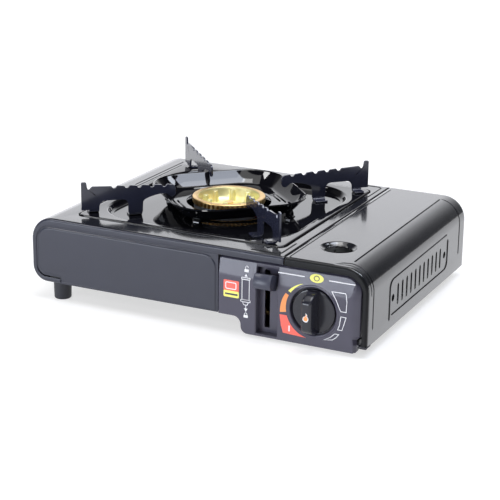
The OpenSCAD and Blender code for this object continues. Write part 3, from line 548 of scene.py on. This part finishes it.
FASCIA_TOP, FASCIA_RIGHT = 71.5, 163.4
FASCIA_THICK = 9.0
BORDER_DEPTH = 1.2           # how far the fascia's edge lies back from its face
BOW_FROM, BOW_DEPTH = 157.0, 3.6
CHANNEL, CHANNEL_DEPTH = (64.0, 86.0, 4.5, 69.9), 8.0      # the lever's: left, right, bottom, top
SLOT = (69.8, 75.0, 9.6, 64)                               # in the channel's floor, likewise
WELL_DEPTH = 5.9


def fascia_outline(t):
    """Outline of the fascia, drawn in by t."""
    return (arc(FASCIA_LEFT + 2.4, FASCIA_TOP - 2.4, 2.4 - t, 90, 180, 4)
            + [(FASCIA_LEFT + t, 17.5 + t)]
            + arc(42, 10.5, 7 + t, 90, 0, 6) + arc(56, 9.3, 7 - t, 180, 270, 6)
            + arc(157.6, 4.9, 2.6 - t, 270, 360, 4)
            + [(160.2 - t, 15.0 + t), (FASCIA_RIGHT - t, 18.0 + t), (FASCIA_RIGHT - t, 30),
               (FASCIA_RIGHT - t, 44)]
            + arc(FASCIA_RIGHT - 15.0, FASCIA_TOP - 15.0, 15.0 - t, 0, 90, 12))


def fascia_face():
    """Inner edge of the fascia's rounded border: the right side bows back over 9 mm."""
    out = []
    for x, z in fascia_outline(1.3):
        limit = 153.4 + 4.6 * ((z - 36) / 32) ** 2
        out.append((min(x, limit), z))
    return out


CROWN_AT, CROWN_SKEW = (86.0, 52.6), 0.03


def crown(x, z):
    """How far the fascia's upper part leans back at height z."""
    over = z - CROWN_AT[1] + CROWN_SKEW * (x - CROWN_AT[0])
    if over <= 0:
        return 0.0
    return 0.03 * min(over, 3.0) ** 2 + 0.18 * max(0.0, over - 3.0)


def lean_back(ob):
    """Cuts a fascia piece at the crown's bends and leans the part above them back."""
    bm = bmesh.new()
    bm.from_mesh(ob.data)
    for over in (0.0, 0.75, 1.5, 2.25, 3.0):
        geo = bm.verts[:] + bm.edges[:] + bm.faces[:]
        bmesh.ops.bisect_plane(bm, geom=geo, dist=1e-6, plane_no=(CROWN_SKEW, 0, 1),
                               plane_co=(CROWN_AT[0] / 1000, 0, (CROWN_AT[1] + over) / 1000))
    for v in bm.verts:
        at = v.co * 1000
        front = min(1.0, max(0.0, (FRONT + 6 - at.y) / 5))
        v.co.y += crown(at.x, at.z) * front / 1000
    bm.to_mesh(ob.data)
    bm.free()


def rect(x0, x1, z0, z1, r, y, n=4):
    """Rounded rectangle at depth y."""
    pts = (arc(x1 - r, z1 - r, r, 0, 90, n) + arc(x0 + r, z1 - r, r, 90, 180, n)
           + arc(x0 + r, z0 + r, r, 180, 270, n) + arc(x1 - r, z0 + r, r, 270, 360, n))
    return [(x, y, z) for x, z in pts]


def knob_circle(r, y, n=64):
    """Circle around the gas knob's axis."""
    return [(x, y, z) for x, z in ellipse(KX, KZ, r, r, n)]


def fascia():
    """Control fascia with the lever's channel and the knob's well."""
    s = Shape()
    back = FRONT + FASCIA_THICK
    outer = fascia_outline(0)
    soft = fascia_outline(0.5)
    face = fascia_face()

    def edge(x):
        return FRONT + (BOW_DEPTH if x > BOW_FROM else BORDER_DEPTH)

    rows = [[(x, back, z) for x, z in outer],
            [(x, edge(x) + 0.5, z) for x, z in outer],
            [(x, edge(x) - 0.4, z) for x, z in soft]]
    rows.append([(f[0] + (o[0] - f[0]) * 0.45, FRONT + 0.08 + (0.75 if o[0] - f[0] > 3 else 0.15),
                  f[1] + (o[1] - f[1]) * 0.45) for f, o in zip(face, soft)])
    rows.append([(x, FRONT, z) for x, z in face])
    rows = s.skin(rows)
    channel = rect(*CHANNEL, 0.6, FRONT)
    well = knob_circle(24.2, FRONT)
    loops = s.fill(rows[-1], channel, well)
    # the lever's channel, with its slot
    chan = s.skin([loops[1], rect(64.4, 85.6, 4.9, 69.6, 0.6, FRONT + 0.5),
                   rect(64.8, 85.4, 5.2, 67.4, 1.0, FRONT + 0.9),
                   rect(64.8, 85.4, 5.2, 67.4, 1.0, FRONT + CHANNEL_DEPTH)])
    floor_loops = s.fill(chan[-1], rect(*SLOT, 0.8, FRONT + CHANNEL_DEPTH))
    s.skin([floor_loops[1], rect(*SLOT, 0.8, FRONT + FASCIA_THICK + 0.8)])
    # raised ring around the knob, and its well
    s.skin([loops[2]] + [knob_circle(r, FRONT + d) for r, d in (
        (23.9, -0.35), (23.5, -0.55), (22.9, -0.55), (22.3, -0.3), (21.9, 0.3), (21.8, WELL_DEPTH),
        (5, WELL_DEPTH), (5, 8))])
    return s


def main_pieces():
    """Covers, their pressed lines, the front panel and the fascia."""
    # the top cover's front and rear band faces take the slate panel paint: a painted reflection, the
    # glossy black sheet's front showing its darker surround
    make("vis_top_cover", top_cover(), "cover_paint", "case", ["top_cover"],
         solid=SHEET, up=(0, 0, 1), even=True, band="panel_paint")
    # the top cover's pressed lines take the painted shade of their creases
    make("vis_cover_ribs", cover_ribs(), "painted_shade", "case", up=(0, 0, 1),
         angle=60)
    # the cartridge cover's front and rear band faces take the same painted shade
    make("vis_cartridge_cover", cartridge_cover(), "cover_paint", "cover", ["cartridge_cover"],
         solid=SHEET, up=(1, 0, 1), even=True, band="painted_shade")
    # its pressed lines take the painted shade of their creases
    make("vis_lid_ribs", lid_ribs(), "painted_shade", "cover", up=(1, 0, 1),
         angle=60)
    make("vis_front_panel", front_panel(), "panel_paint", "case", ["front_panel"])
    lean_back(make("vis_fascia", fascia(), "fascia_plastic", "case", ["control_fascia"],
                   up=(0, -1, 0), angle=16, even=True))


# ---------------------------------------------------------------- pan stand
def drip_tray():
    """Pressed tray: a flat rim and a sunk well with a hole for the burner."""
    s = Shape()
    # half width, corner radius, height
    steps = [(106.0, 7.7, 69.3), (106.3, 8.0, 69.3), (106.3, 8.0, 79.9), (106.1, 7.8, 80.7),
             (105.6, 7.3, 81.2), (104.8, 6.5, 81.35), (103.6, 6.0, 81.3), (99.6, 48.0, 81.3),
             (98.6, 47.4, 81.15), (97.9, 46.8, 80.7), (97.2, 46.2, 79.8), (95.8, 45.0, 76.6),
             (95.1, 44.4, 75.7), (94.2, 43.6, 75.2), (93.0, 42.6, 75.0), (84.0, 50.0, 75.35),
             (70.0, 60.0, 75.3), (56.0, 56.0, 75.1), (51.0, 51.0, 75.2), (48.5, 48.5, 75.9),
             (46.5, 46.5, 76.2), (44.9, 44.9, 75.9), (44.2, 44.2, 75.2), (44.1, 44.1, 74.4)]
    s.skin([ring(h, r, z, n=14) for h, r, z in steps])
    return s


POST, TIP = 112.0, 54.0      # height of a support's post, distance of its tip from the burner's axis
# each foot of a support: from and to along the support, height of its underside
LEG_FEET = ((128.9, 138.5, 81.35), (87.0, 99.8, 75.25))


def arm_top(u):
    """Height of a support's upper edge, which rises a little outwards."""
    return 105.5 + 0.045 * (u - 95)


def arm_outline():
    """Outline of a pan support: out from the burner's axis, and up. Its two legs end at their bends."""
    outer, inner = LEG_FEET[0][2] + 3.4, LEG_FEET[1][2] + 3.4
    out = [(146.0, outer), (146.0, POST - 0.9), (145.1, POST), (142.0, POST), (141.1, POST - 0.6),
           (140.3, 106.8), (139.8, 105.2), (138.9, 104.5), (138.0, 104.7), (136.8, 105.9),
           (135.8, 106.9), (134.8, arm_top(134.8))]
    for k in range(5):
        u = 114 - 12.2 * k
        lift = arm_top(u)
        out += [(u + 3.5, lift), (u + 2.7, lift - 0.3), (u + 1.4, lift - 2.0), (u + 0.9, lift - 2.3),
                (u - 0.9, lift - 2.3), (u - 1.4, lift - 2.0), (u - 2.7, lift - 0.3), (u - 3.5, lift)]
    out += arc(TIP + 4.6, arm_top(TIP) - 4.8, 4.8, 80, 180, 6)
    out += arc(TIP + 3.6, 95.2, 3.8, 180, 292, 6)
    out += [(62.2, 94.2), (63.0, 95.0), (69.0, 95.2), (74, 94.4), (80, 92.8), (84.5, 90.8),
            (86.0, 88.8), (86.3, 85), (86.5, inner), (100.5, inner), (100.5, 86)]
    out += arc(106.0, 87.0, 5.5, 180, 90, 6) + arc(122.8, 86.6, 6.0, 90, 0, 6)
    out += [(128.8, outer)]
    return out


def pan_support(angle):
    """Stamped plate with two feet bent out from it."""
    s = Shape()
    half = 0.9
    line = arm_outline()
    sides = [s.add(around_burner([(u, v, z) for u, z in line], angle)) for v in (-half, half)]
    for side in sides:
        s.fill(side)
    s.skin(sides)
    # each foot: down from the plate, round the bend, out along the tray
    for u0, u1, z in LEG_FEET:
        wall = 2 * half
        r = 1.6
        outer = ([(half, z + 3.4)] + arc(half - r - wall, z + r + wall, r + wall, 0, -90, 6)
                 + [(-9.2, z), (-9.9, z + 0.5)])
        inner = ([(-half, z + 3.4)] + arc(half - r - wall, z + r + wall, r, 0, -90, 6)
                 + [(-9.2, z + wall), (-9.9, z + wall - 0.5)])
        row = outer + inner[::-1]
        rows = []
        for u, cut in ((u0, 1.0), (u0 + 0.4, 0.3), (u0 + 1.2, 0.0), (u1 - 1.2, 0.0), (u1 - 0.4, 0.3),
                       (u1, 1.0)):
            rows.append(around_burner([(u, max(v, -9.9 + cut), zz) for v, zz in row], angle))
        ids = s.skin(rows)
        for end in (ids[0], ids[-1]):
            n = len(end)
            for i in range(n // 2 - 1):
                s.faces.append((end[i], end[i + 1], end[n - 2 - i], end[n - 1 - i]))
    return s


def wind_shield():
    """Rounded square bowl, turned by 45 degrees, on four short legs."""
    s = Shape()
    turn = 45.0
    # half width, corner radius, height: the inside, then back under it
    steps = [(41.2, 41.2, 81.2), (41.0, 41.0, 81.7), (41.3, 41.3, 82.2), (43.0, 41.0, 82.35),
             (46.6, 26.0, 82.1), (52.0, 25.4, 82.1), (54.4, 26.6, 82.5), (56.0, 28.0, 83.6),
             (60.0, 31.8, 88.0), (64.0, 35.4, 92.6), (64.7, 36.2, 93.6), (65.3, 36.7, 94.3),
             (66.0, 37.2, 94.6), (66.9, 37.9, 94.3), (67.2, 38.1, 93.6), (66.8, 37.8, 93.0),
             (65.7, 36.9, 92.4), (61.1, 32.7, 87.4), (57.2, 29.0, 83.0), (55.0, 26.9, 81.5),
             (52.0, 25.4, 81.0), (43.0, 41.0, 81.0)]
    s.skin([ring(h, r, z, turn, n=14) for h, r, z in steps], wrap=True)
    # legs
    for k in range(4):
        a = 90.0 * k
        rows = []
        for z, u0, u1, w in ((75.15, 60.6, 69.4, 4.2), (75.9, 60.6, 69.4, 4.2), (76.6, 61.8, 68.2, 3.6),
                             (79.0, 61.8, 68.0, 3.8), (81.4, 61.4, 66.8, 4.4)):
            pts = [(u, v, z) for u, v in (
                (u1, w - 1), (u1 - 1, w), (u0 + 1, w), (u0, w - 1), (u0, 1 - w), (u0 + 1, -w),
                (u1 - 1, -w), (u1, 1 - w))]
            rows.append(around_burner(pts, a))
        rows = s.skin(rows)
        s.cap(rows[0])
    return s


def shield_ribs():
    """Two pressed ribs along each side of the wind shield's floor."""
    s = Shape()
    for k in range(4):
        for u, half in ((47.4, 16.0), (51.4, 21.0)):
            line = bar_line(around_burner([(u, v, 82.1) for v in (-half, 0, half)], 45 + 90 * k),
                            2)
            s.bead(line, [(0, 0, 1)] * len(line), 2.6, 1.1)
    return s


def burner_head():
    """Outside of the brass head: 48 flame slots are cut up from its lower edge."""
    s = Shape()
    n, per, slot_depth = 240, 5, 2.6
    # radius, height
    zs = [(31.6, 82.0), (34.6, 82.0), (35.3, 82.3), (35.5, 82.7), (35.5, 85.4), (35.5, 87.1),
          (35.3, 87.6), (34.7, 88.0), (30.6, 88.0), (30.0, 87.6)]
    rows = []
    for k, (r, z) in enumerate(zs):
        row = []
        for i in range(n):
            rr = r - (slot_depth if i % per in (1, 2) and 1 <= k <= 4 else 0)
            a = 2 * math.pi * i / n
            row.append((rr * math.cos(a), rr * math.sin(a), z))
        rows.append(around_burner(row))
    s.skin(rows)
    return s


def circle_at(cx, cy, r, z, n):
    """Circle around a point that is given from the burner's axis."""
    return around_burner([(x, y, z) for x, y in ellipse(cx, cy, r, r, n)])


def burner_cup():
    """Inside of the brass head, with its eight posts; each step is a radius and a height."""
    s = Shape()
    s.skin([circle_at(0, 0, r, z, 96) for r, z in (
        (30.4, 87.95), (29.9, 87.4), (29.4, 85.5), (27.6, 80.0), (26.2, 77.6), (24.4, 76.6),
        (12.0, 76.3), (8.2, 76.4), (7.2, 77.0), (6.6, 79.2), (5.8, 79.6), (2.5, 79.6))])
    for k in range(8):
        a = math.radians(45 * k + 18)
        cx, cy = 22.6 * math.cos(a), 22.6 * math.sin(a)
        rows = s.skin([circle_at(cx, cy, r, z, 20) for r, z in (
            (3.9, 76.2), (3.4, 77.6), (3.0, 81.0), (2.6, 86.4), (2.3, 87.2), (1.7, 87.6),
            (0.9, 87.6), (0.8, 86.0))])
        s.cap(rows[-1])
    return s


# ---------------------------------------------------------------- controls
def gas_knob():
    """Round disc with a straight grip across it."""
    s = Shape()
    # disc: radius, depth behind the front plane
    rows = [knob_circle(r, FRONT + d, 96) for r, d in (
        (3.2, 5.4), (20.0, 5.4), (20.2, 5.0), (20.2, 1.6), (20.0, 1.1), (19.5, 0.8),
        (18.6, 0.65), (12.0, 0.6), (0.01, 0.6))]
    s.skin(rows)
    # grip: how far it stands out, half width, half length, corner radius
    grip = []
    for out, hw, hl, r in ((-0.5, 6.6, 19.4, 2.4), (0.8, 6.0, 19.3, 2.2), (2.2, 5.5, 19.2, 2.0),
                           (6.0, 5.2, 18.8, 2.0), (9.4, 5.0, 17.9, 2.0), (12.2, 4.9, 16.6, 2.0),
                           (14.4, 4.8, 15.0, 2.0), (15.6, 4.6, 13.7, 1.8), (16.2, 4.1, 12.6, 1.6),
                           (16.55, 3.2, 11.6, 1.2), (16.6, 2.2, 10.6, 1.0)):
        grip.append(rect(KX - hw, KX + hw, KZ - hl, KZ + hl, r, FRONT + 0.6 - out, 5))
    rows = s.skin(grip)
    s.cap(rows[-1])
    return s


(LEVER_X, *PIVOT), SWING = joint_of("lever_turn")      # PIVOT is (y, z)
THUMB_X = LEVER_X + 2.7                                # middle of the thumb piece


def at_pivot(u, w):
    """Point of the lever at rest: u along it, w across it."""
    a = math.radians(-SWING / 2)
    return (PIVOT[0] + u * math.cos(a) - w * math.sin(a), PIVOT[1] + u * math.sin(a) + w * math.cos(a))


def hinge_block():
    """Plastic end piece of the cover's hinge, below the fascia's corner."""
    s = Shape()
    line = [(162.6, 8.9), (170.2, 8.9), (171.3, 10.0), (171.3, 11.4), (162.6, 11.0)]
    rows = s.skin([[(x, FRONT + d, z) for x, z in line] for d in (-0.2, 9.0)])
    s.cap(rows[0])
    s.cap(rows[1])
    return s


def lever_knob():
    """Thumb piece: a block with a full, rounded face and a small ledge at its lower edge."""
    s = Shape()
    line = [(-44.6, -6.6), (-44.6, 6.6), (-50.0, 6.9)]
    line += [(-47.0 - 13.4 * math.cos(math.radians(a)), 13.4 * math.sin(math.radians(a)))
             for a in (28, 22, 14, 6, -2, -10, -18)]
    line += [(-58.2, -6.0), (-56.5, -7.0), (-50.0, -7.0)]
    cu = -51.5               # the ends are rounded towards here
    rows = []
    for x, k in ((-8.6, 0.90), (-8.4, 0.96), (-7.8, 1.0), (7.8, 1.0), (8.4, 0.96), (8.6, 0.90)):
        row = []
        for u, w in line:
            uu = cu + (u - cu) * (k if u < cu else 1.0)
            y, z = at_pivot(uu, w * (1.0 - (1.0 - k) * 0.6))
            row.append((THUMB_X + x, y, z))
        rows.append(row)
    ids = s.skin(rows)
    s.cap(ids[0])
    s.cap(ids[-1])
    return s


FOOT_X, FOOT_INSET = -145.4, 12.5


def feet():
    """The two round feet on the left."""
    s = Shape()
    for cy in (FRONT + FOOT_INSET, REAR - FOOT_INSET):
        rows = [[(x, y, z) for x, y in ellipse(FOOT_X, cy, r, r, 48)]
                for r, z in ((0.01, 0.5), (6.0, 0.45), (6.8, 0.0), (7.4, 0.0), (8.0, 0.6), (8.15, 1.4),
                             (8.3, 6.0), (8.5, 15.0), (8.7, 17.8), (8.6, 18.45), (0.01, 18.45))]
        s.skin(rows)
    return s


# ---------------------------------------------------------------- printed marks
def print_shape(polys, y, thick):
    """Thin printed areas: each is an outline of (x, z), or an outline followed by its holes."""
    s = Shape()
    for poly in polys:
        loops = [poly] if isinstance(poly[0], tuple) else poly
        front = s.fill(*[[(x, y - thick, z) for x, z in loop] for loop in loops])
        for loop in front:
            s.skin([loop, [(s.points[i][0], y + 0.05, s.points[i][2]) for i in loop]])
    return s


def outline_stroke(line, w):
    """Outline stroke: the closed line and the same line drawn in by w."""
    n = len(line)
    area = sum(line[i][0] * line[(i + 1) % n][1] - line[(i + 1) % n][0] * line[i][1] for i in range(n))
    sign = 1 if area > 0 else -1
    inner = []
    for i in range(n):
        p, a, b = Vector(line[i]), Vector(line[i - 1]), Vector(line[(i + 1) % n])
        d0, d1 = (p - a).normalized(), (b - p).normalized()
        n0, n1 = Vector((-d0.y, d0.x)) * sign, Vector((-d1.y, d1.x)) * sign
        m = n0 + n1
        m = m / max(0.35, m.length_squared / 2)
        inner.append(tuple(p + m * w))
    return [line, inner]


def sector(r0, r1, a0, a1, n):
    """Part of a ring around the knob; r1 may be a pair that grows along it."""
    ra, rb = r1 if isinstance(r1, tuple) else (r1, r1)
    back = []
    for i in range(n, -1, -1):
        t = i / n
        r = ra + (rb - ra) * t
        a = math.radians(a0 + (a1 - a0) * t)
        back.append((KX + r * math.cos(a), KZ + r * math.sin(a)))
    return arc(KX, KZ, r0, a0, a1, n) + back


SHUT_MARK = (121.8, 65.6)    # oval mark above the knob


def poly_prints():
    """Printed marks on the fascia: name, material, thickness, areas."""
    oval = ellipse(*SHUT_MARK, 6.5, 3.8, 40)

    def oval_ring(r):
        return ellipse(*SHUT_MARK, r * 1.15, r, 24)

    def box_line(x0, x1, z0, z1, r=0.3):
        return [(x, z) for x, _, z in rect(x0, x1, z0, z1, r, 0, 3)]

    def box_frame(x0, x1, z0, z1, r, w):
        return [box_line(x0, x1, z0, z1, r), box_line(x0 + w, x1 - w, z0 + w, z1 - w,
                                                      max(0.1, r - w))]

    def padlock(cx, z0, open_by):
        body = box_line(cx - 2.1, cx + 2.1, z0, z0 + 2.5, 0.4)
        top = z0 + 3.3 + open_by
        shackle = ([(cx - 1.5, z0 + 2.4)] + arc(cx, top, 1.5, 180, 0, 8)
                   + ([(cx + 1.5, z0 + 2.4)] if not open_by else [(cx + 1.5, top - 0.3)])
                   + ([(cx + 1.0, z0 + 2.4)] if not open_by else [(cx + 1.0, top - 0.3)])
                   + arc(cx, top, 1.0, 0, 180, 8) + [(cx - 1.0, z0 + 2.4)])
        return [body, shackle]

    # canister standing on its neck, with arrows from it to an open and a shut padlock
    can = [box_frame(50.8, 58.5, 35.0, 54.4, 0.2, 0.6),
           box_frame(50.2, 59.1, 54.0, 56.2, 0.7, 0.6),
           box_frame(49.7, 59.5, 32.9, 35.4, 0.7, 0.6),
           outline_stroke([(51.2, 33.2), (52.8, 30.0), (56.4, 30.0), (58.0, 33.2)], 0.6)]
    arrow_up = [(56.2, 57.0), (54.7, 59.3), (53.2, 57.0)]
    arrow_down = [(54.7, 29.9), (55.3, 29.9), (55.3, 27.0), (56.7, 27.2), (55.0, 23.9),
                  (53.3, 27.2), (54.7, 27.0)]
    # flow marks left of the knob, from small to large
    yellow = sector(25.7, (28.5, 26.0), 147, 114, 12)
    orange = sector(26.0, (29.4, 32.0), 154, 190, 12)
    red = (sector(26.1, 26.1, 197, 257, 14)[:15] + [(91.8, 10.9), (89.6, 17.6), (88.1, 27.6)])
    # open boxes right of the knob, from large to small
    w1 = [(136.4, 56.9), (149.7, 57.1), (150.8, 55.4), (151.8, 49.6), (151.3, 39.8),
          (145.9, 39.8), (144.4, 42.3), (141.4, 49.2)]
    w2 = [(146, 35.7), (151.5, 35.5), (150, 29.8), (147.8, 22.6), (143.2, 22.6), (144.9, 27.5)]
    w3 = [(140.9, 19), (145.4, 18.9), (142.2, 14.8), (138.9, 12.3), (130.6, 11.2), (136.7, 14.8)]
    return [
        ("white", "print_white", 0.12, [box_line(85, 110.4, 65, 65.9), box_line(133.2, 157.8, 65, 65.9)]
         + [outline_stroke(w, 0.6) for w in (w1, w2, w3)] + can + [arrow_up, arrow_down]
         + padlock(54.8, 60.9, 0.8) + padlock(55.0, 18.4, 0.0)),
        ("yellow", "print_yellow", 0.14, [oval, yellow, box_line(32.8, 48.0, 35.3, 41.4, 1.0)]),
        ("orange", "print_orange", 0.12, [orange]),
        ("red", "print_red", 0.12, [red, box_line(32.8, 48.0, 41.0, 51.2, 1.0)]),
        ("symbol", "print_white", 0.2, [box_line(97.0, 98.3, 13.2, 18.6),
                                        box_frame(34.5, 45.6, 42.7, 49.6, 1.6, 0.9)]),
        ("dark", "print_dark", 0.2, [[oval_ring(2.4), oval_ring(1.75)],
                                     box_line(34.2, 46.8, 37.4, 39.0, 0.5)]),
    ]


def flame(cx, cz, h):
    """Flame outline with a soft tip leaning right."""
    k = h / 8.3
    half = [(0.0, -4.1), (1.5, -3.7), (2.5, -2.4), (2.7, -0.9), (2.1, 0.6), (1.5, 1.3), (1.6, 2.4),
            (1.1, 3.4), (0.1, 4.2), (0.2, 2.6), (-0.8, 1.2), (-1.5, 0.4), (-1.7, 1.1), (-2.5, -0.4),
            (-2.7, -1.9), (-1.9, -3.3)]
    return [(cx + x * k, cz + z * k) for x, z in half]


def small_pieces():
    """Pan stand, burner, controls, feet and printed marks."""
    make("vis_drip_tray", drip_tray(), "enamel", "pan_stand", ["drip_tray"],
         solid=SHEET, up=(0, 0, 1))
    for name, angle in (("front_left", -135), ("front_right", -45), ("rear_left", 135),
                        ("rear_right", 45)):
        make("vis_pan_support_" + name, pan_support(angle), "support_enamel", "pan_stand",
             ["pan_support_" + name], bevel=0.35)
    make("vis_wind_shield", wind_shield(), "enamel", "pan_stand", ["wind_shield"])
    make("vis_shield_ribs", shield_ribs(), "enamel", "pan_stand", up=(0, 0, 1),
         angle=60)
    make("vis_burner_head", burner_head(), "brass", "case", ["burner_head"])
    make("vis_burner_cup", burner_cup(), "brass_inside", "case", up=(0, 0, 1))
    make("vis_gas_knob", gas_knob(), "knob_plastic", "knob", ["control_knob"])
    make("vis_lever_knob", lever_knob(), "lever_plastic", "lever", ["lever_knob"],
         bevel=0.5)
    make("vis_cover_hinge_block", hinge_block(), "knob_plastic", "cover",
         bevel=0.4)
    make("vis_left_feet", feet(), "foot_plastic", "case", ["left_feet"])
    for name, mat, thick, polys in poly_prints():
        lean_back(make("vis_print_" + name, print_shape(polys, FRONT, thick), mat, "case"))
    icon_y = FRONT - 16.0     # front of the knob's grip
    make("vis_knob_icon_edge", print_shape([flame(KX, KZ - 0.4, 8.4)], icon_y, 0.08), "print_white",
         "knob")
    make("vis_knob_icon", print_shape([flame(KX, KZ - 0.5, 6.2)], icon_y, 0.14), "print_orange",
         "knob")


# CAD nodes that are shown as they are, by material
CARRIED = {
    "case_paint": ["bottom_case", "rear_panel"],
    "foot_plastic": ["right_feet"],
    "zinc_plate": ["rear_screws", "cartridge_cradle", "notch_guide", "bay_partition",
                   "front_bulkhead", "burner_bracket", "burner_screws",
                   "igniter_electrode", "valve_shaft", "lock_lever", "lever_pivot",
                   "cartridge_pusher", "pusher_studs"],
    "support_enamel": ["support_rivets"],
    "cover_paint": ["cover_hinge_pins"],
    "cast_zinc": ["gas_regulator", "mixing_tube", "burner_base"],
    "seal_rubber": ["inlet_seal"],
    "brass": ["gas_pipe", "injector", "head_screw"],
    "igniter_plastic": ["piezo_igniter", "ignition_cam", "lever_washer"],
    "wire_sleeve": ["igniter_wire"],
    "insulator_ceramic": ["electrode_insulator"],
}


def finish_carried():
    """Gives each carried CAD node its material."""
    for mat, names in CARRIED.items():
        for name in names:
            ob = frame["nodes"][name]
            ob.data.materials.clear()
            ob.data.materials.append(MATERIALS[mat])


# ---------------------------------------------------------------- studio
def floor():
    """Plain pale floor, whose glow grows away from the object so that it stays pale all over."""
    mesh = bpy.data.meshes.new("floor")
    mesh.from_pydata([(-9, -9, 0), (9, -9, 0), (9, 9, 0), (-9, 9, 0)], [], [(0, 1, 2, 3)])
    ob = bpy.data.objects.new("floor", mesh)
    bpy.context.scene.collection.objects.link(ob)
    mat = material("floor_white", (180, 180, 181), 0.6, bump=0.02, vary=0.01, spec=0.3)
    shader = mat.node_tree.nodes["Principled BSDF"]
    shader.inputs["Emission Color"].default_value = (1.0, 1.0, 1.0, 1)
    new, link = mat.node_tree.nodes.new, mat.node_tree.links.new
    place = new("ShaderNodeTexCoord")
    away = new("ShaderNodeVectorMath")
    away.operation = "LENGTH"
    link(place.outputs["Object"], away.inputs[0])
    glow = map_range(mat.node_tree, away.outputs["Value"], 1.2, 3.0, 0.62, 1.0)
    link(glow, shader.inputs["Emission Strength"])
    mesh.materials.append(mat)


def area_light(name, at, target, size, size_y, watts, tint=(1, 1, 1)):
    """Rectangular lamp that the camera doesn't see."""
    light = bpy.data.lights.new(name, "AREA")
    light.shape = "RECTANGLE"
    light.size, light.size_y = size, size_y
    light.energy = watts
    light.color = tint
    ob = bpy.data.objects.new(name, light)
    ob.location = at
    ob.rotation_euler = (Vector(target) - Vector(at)).to_track_quat("-Z", "Y").to_euler()
    ob.visible_camera = False
    bpy.context.scene.collection.objects.link(ob)


def studio():
    """Soft lights, a pale backdrop and a bright horizon for the reflections."""
    world = bpy.data.worlds.new("studio")
    bpy.context.scene.world = world
    world.use_nodes = True
    tree = world.node_tree
    new, link = tree.nodes.new, tree.links.new
    tree.nodes.clear()
    out, bg = new("ShaderNodeOutputWorld"), new("ShaderNodeBackground")
    link(bg.outputs[0], out.inputs["Surface"])
    bg.inputs["Color"].default_value = (0.95, 0.96, 1.0, 1)
    coords = new("ShaderNodeTexCoord")
    sep = new("ShaderNodeSeparateXYZ")
    link(coords.outputs["Generated"], sep.inputs[0])
    band = map_range(tree, sep.outputs["Z"], 0.43, 0.55, 1.0, 0.04, smooth=True)
    # the horizon is brightest behind the left rear corner
    side = new("ShaderNodeVectorMath")
    side.operation = "DOT_PRODUCT"
    side.inputs[1].default_value = (-0.44, 0.9, 0.0)
    link(coords.outputs["Generated"], side.inputs[0])
    rear = map_range(tree, side.outputs["Value"], 0.62, 0.93, 0.08, 1.5, smooth=True)
    # seen directly, the world is a plain pale backdrop
    seen = new("ShaderNodeLightPath")
    pick = new("ShaderNodeMix")
    pick.data_type = "FLOAT"
    pick.inputs["B"].default_value = 1.0
    link(seen.outputs["Is Camera Ray"], pick.inputs["Factor"])
    link(combined(tree, "MULTIPLY", band, rear), pick.inputs["A"])
    link(pick.outputs["Result"], bg.inputs["Strength"])
    cool = (0.84, 0.9, 1.0)
    # name, place, target, width, height, watts, colour
    area_light("top_a", (0.86, 0.05, 2.2), (0, 0, 0), 0.8, 1.1, 20, (0.8, 0.86, 1.0))
    area_light("top_b", (1.25, 0.9, 1.7), (0, 0, 0), 0.5, 0.5, 8, cool)
    area_light("key", (-1.5, -0.9, 1.9), (0, 0, 0), 0.6, 0.6, 14)
    area_light("front", (0.5, -2.2, 1.6), (0, 0, 0), 0.6, 0.5, 10)
    area_light("low", (-1.25, -2.6, 0.38), (0, 0, 0.05), 1.8, 0.7, 40, cool)
    area_light("overhead", (0.05, -0.15, 2.9), (0, 0, 0), 1.1, 1.1, 20)
    area_light("fill", (0.0, 0.0, 3.2), (0, 0, 0), 3.0, 3.0, 42)
    bpy.context.scene.view_settings.view_transform = "Standard"


CAMERA_TURN = (25.914, 18.106, 0.765)             # azimuth, elevation and roll, in degrees
CAMERA_AT = (0.611526, -1.258388, 0.496092)       # in metres
SENSOR, LENS = 36.0, 109.492776                   # in mm


def camera():
    """Camera at the viewing angle given above."""
    az, el, roll = (math.radians(v) for v in CAMERA_TURN)
    back = Vector((math.sin(az) * math.cos(el), -math.cos(az) * math.cos(el), math.sin(el)))
    right = (-back).cross(Vector((0, 0, 1))).normalized()
    up = right.cross(-back)
    right, up = (math.cos(roll) * right + math.sin(roll) * up,
                 math.cos(roll) * up - math.sin(roll) * right)
    cam = bpy.data.cameras.new("camera")
    cam.sensor_width = SENSOR
    cam.lens = LENS
    ob = bpy.data.objects.new("camera", cam)
    bpy.context.scene.collection.objects.link(ob)
    m = Matrix((right, up, back)).transposed().to_4x4()
    m.translation = CAMERA_AT
    ob.matrix_world = m
    bpy.context.scene.camera = ob


main_pieces()
small_pieces()
finish_carried()
floor()
studio()
camera()
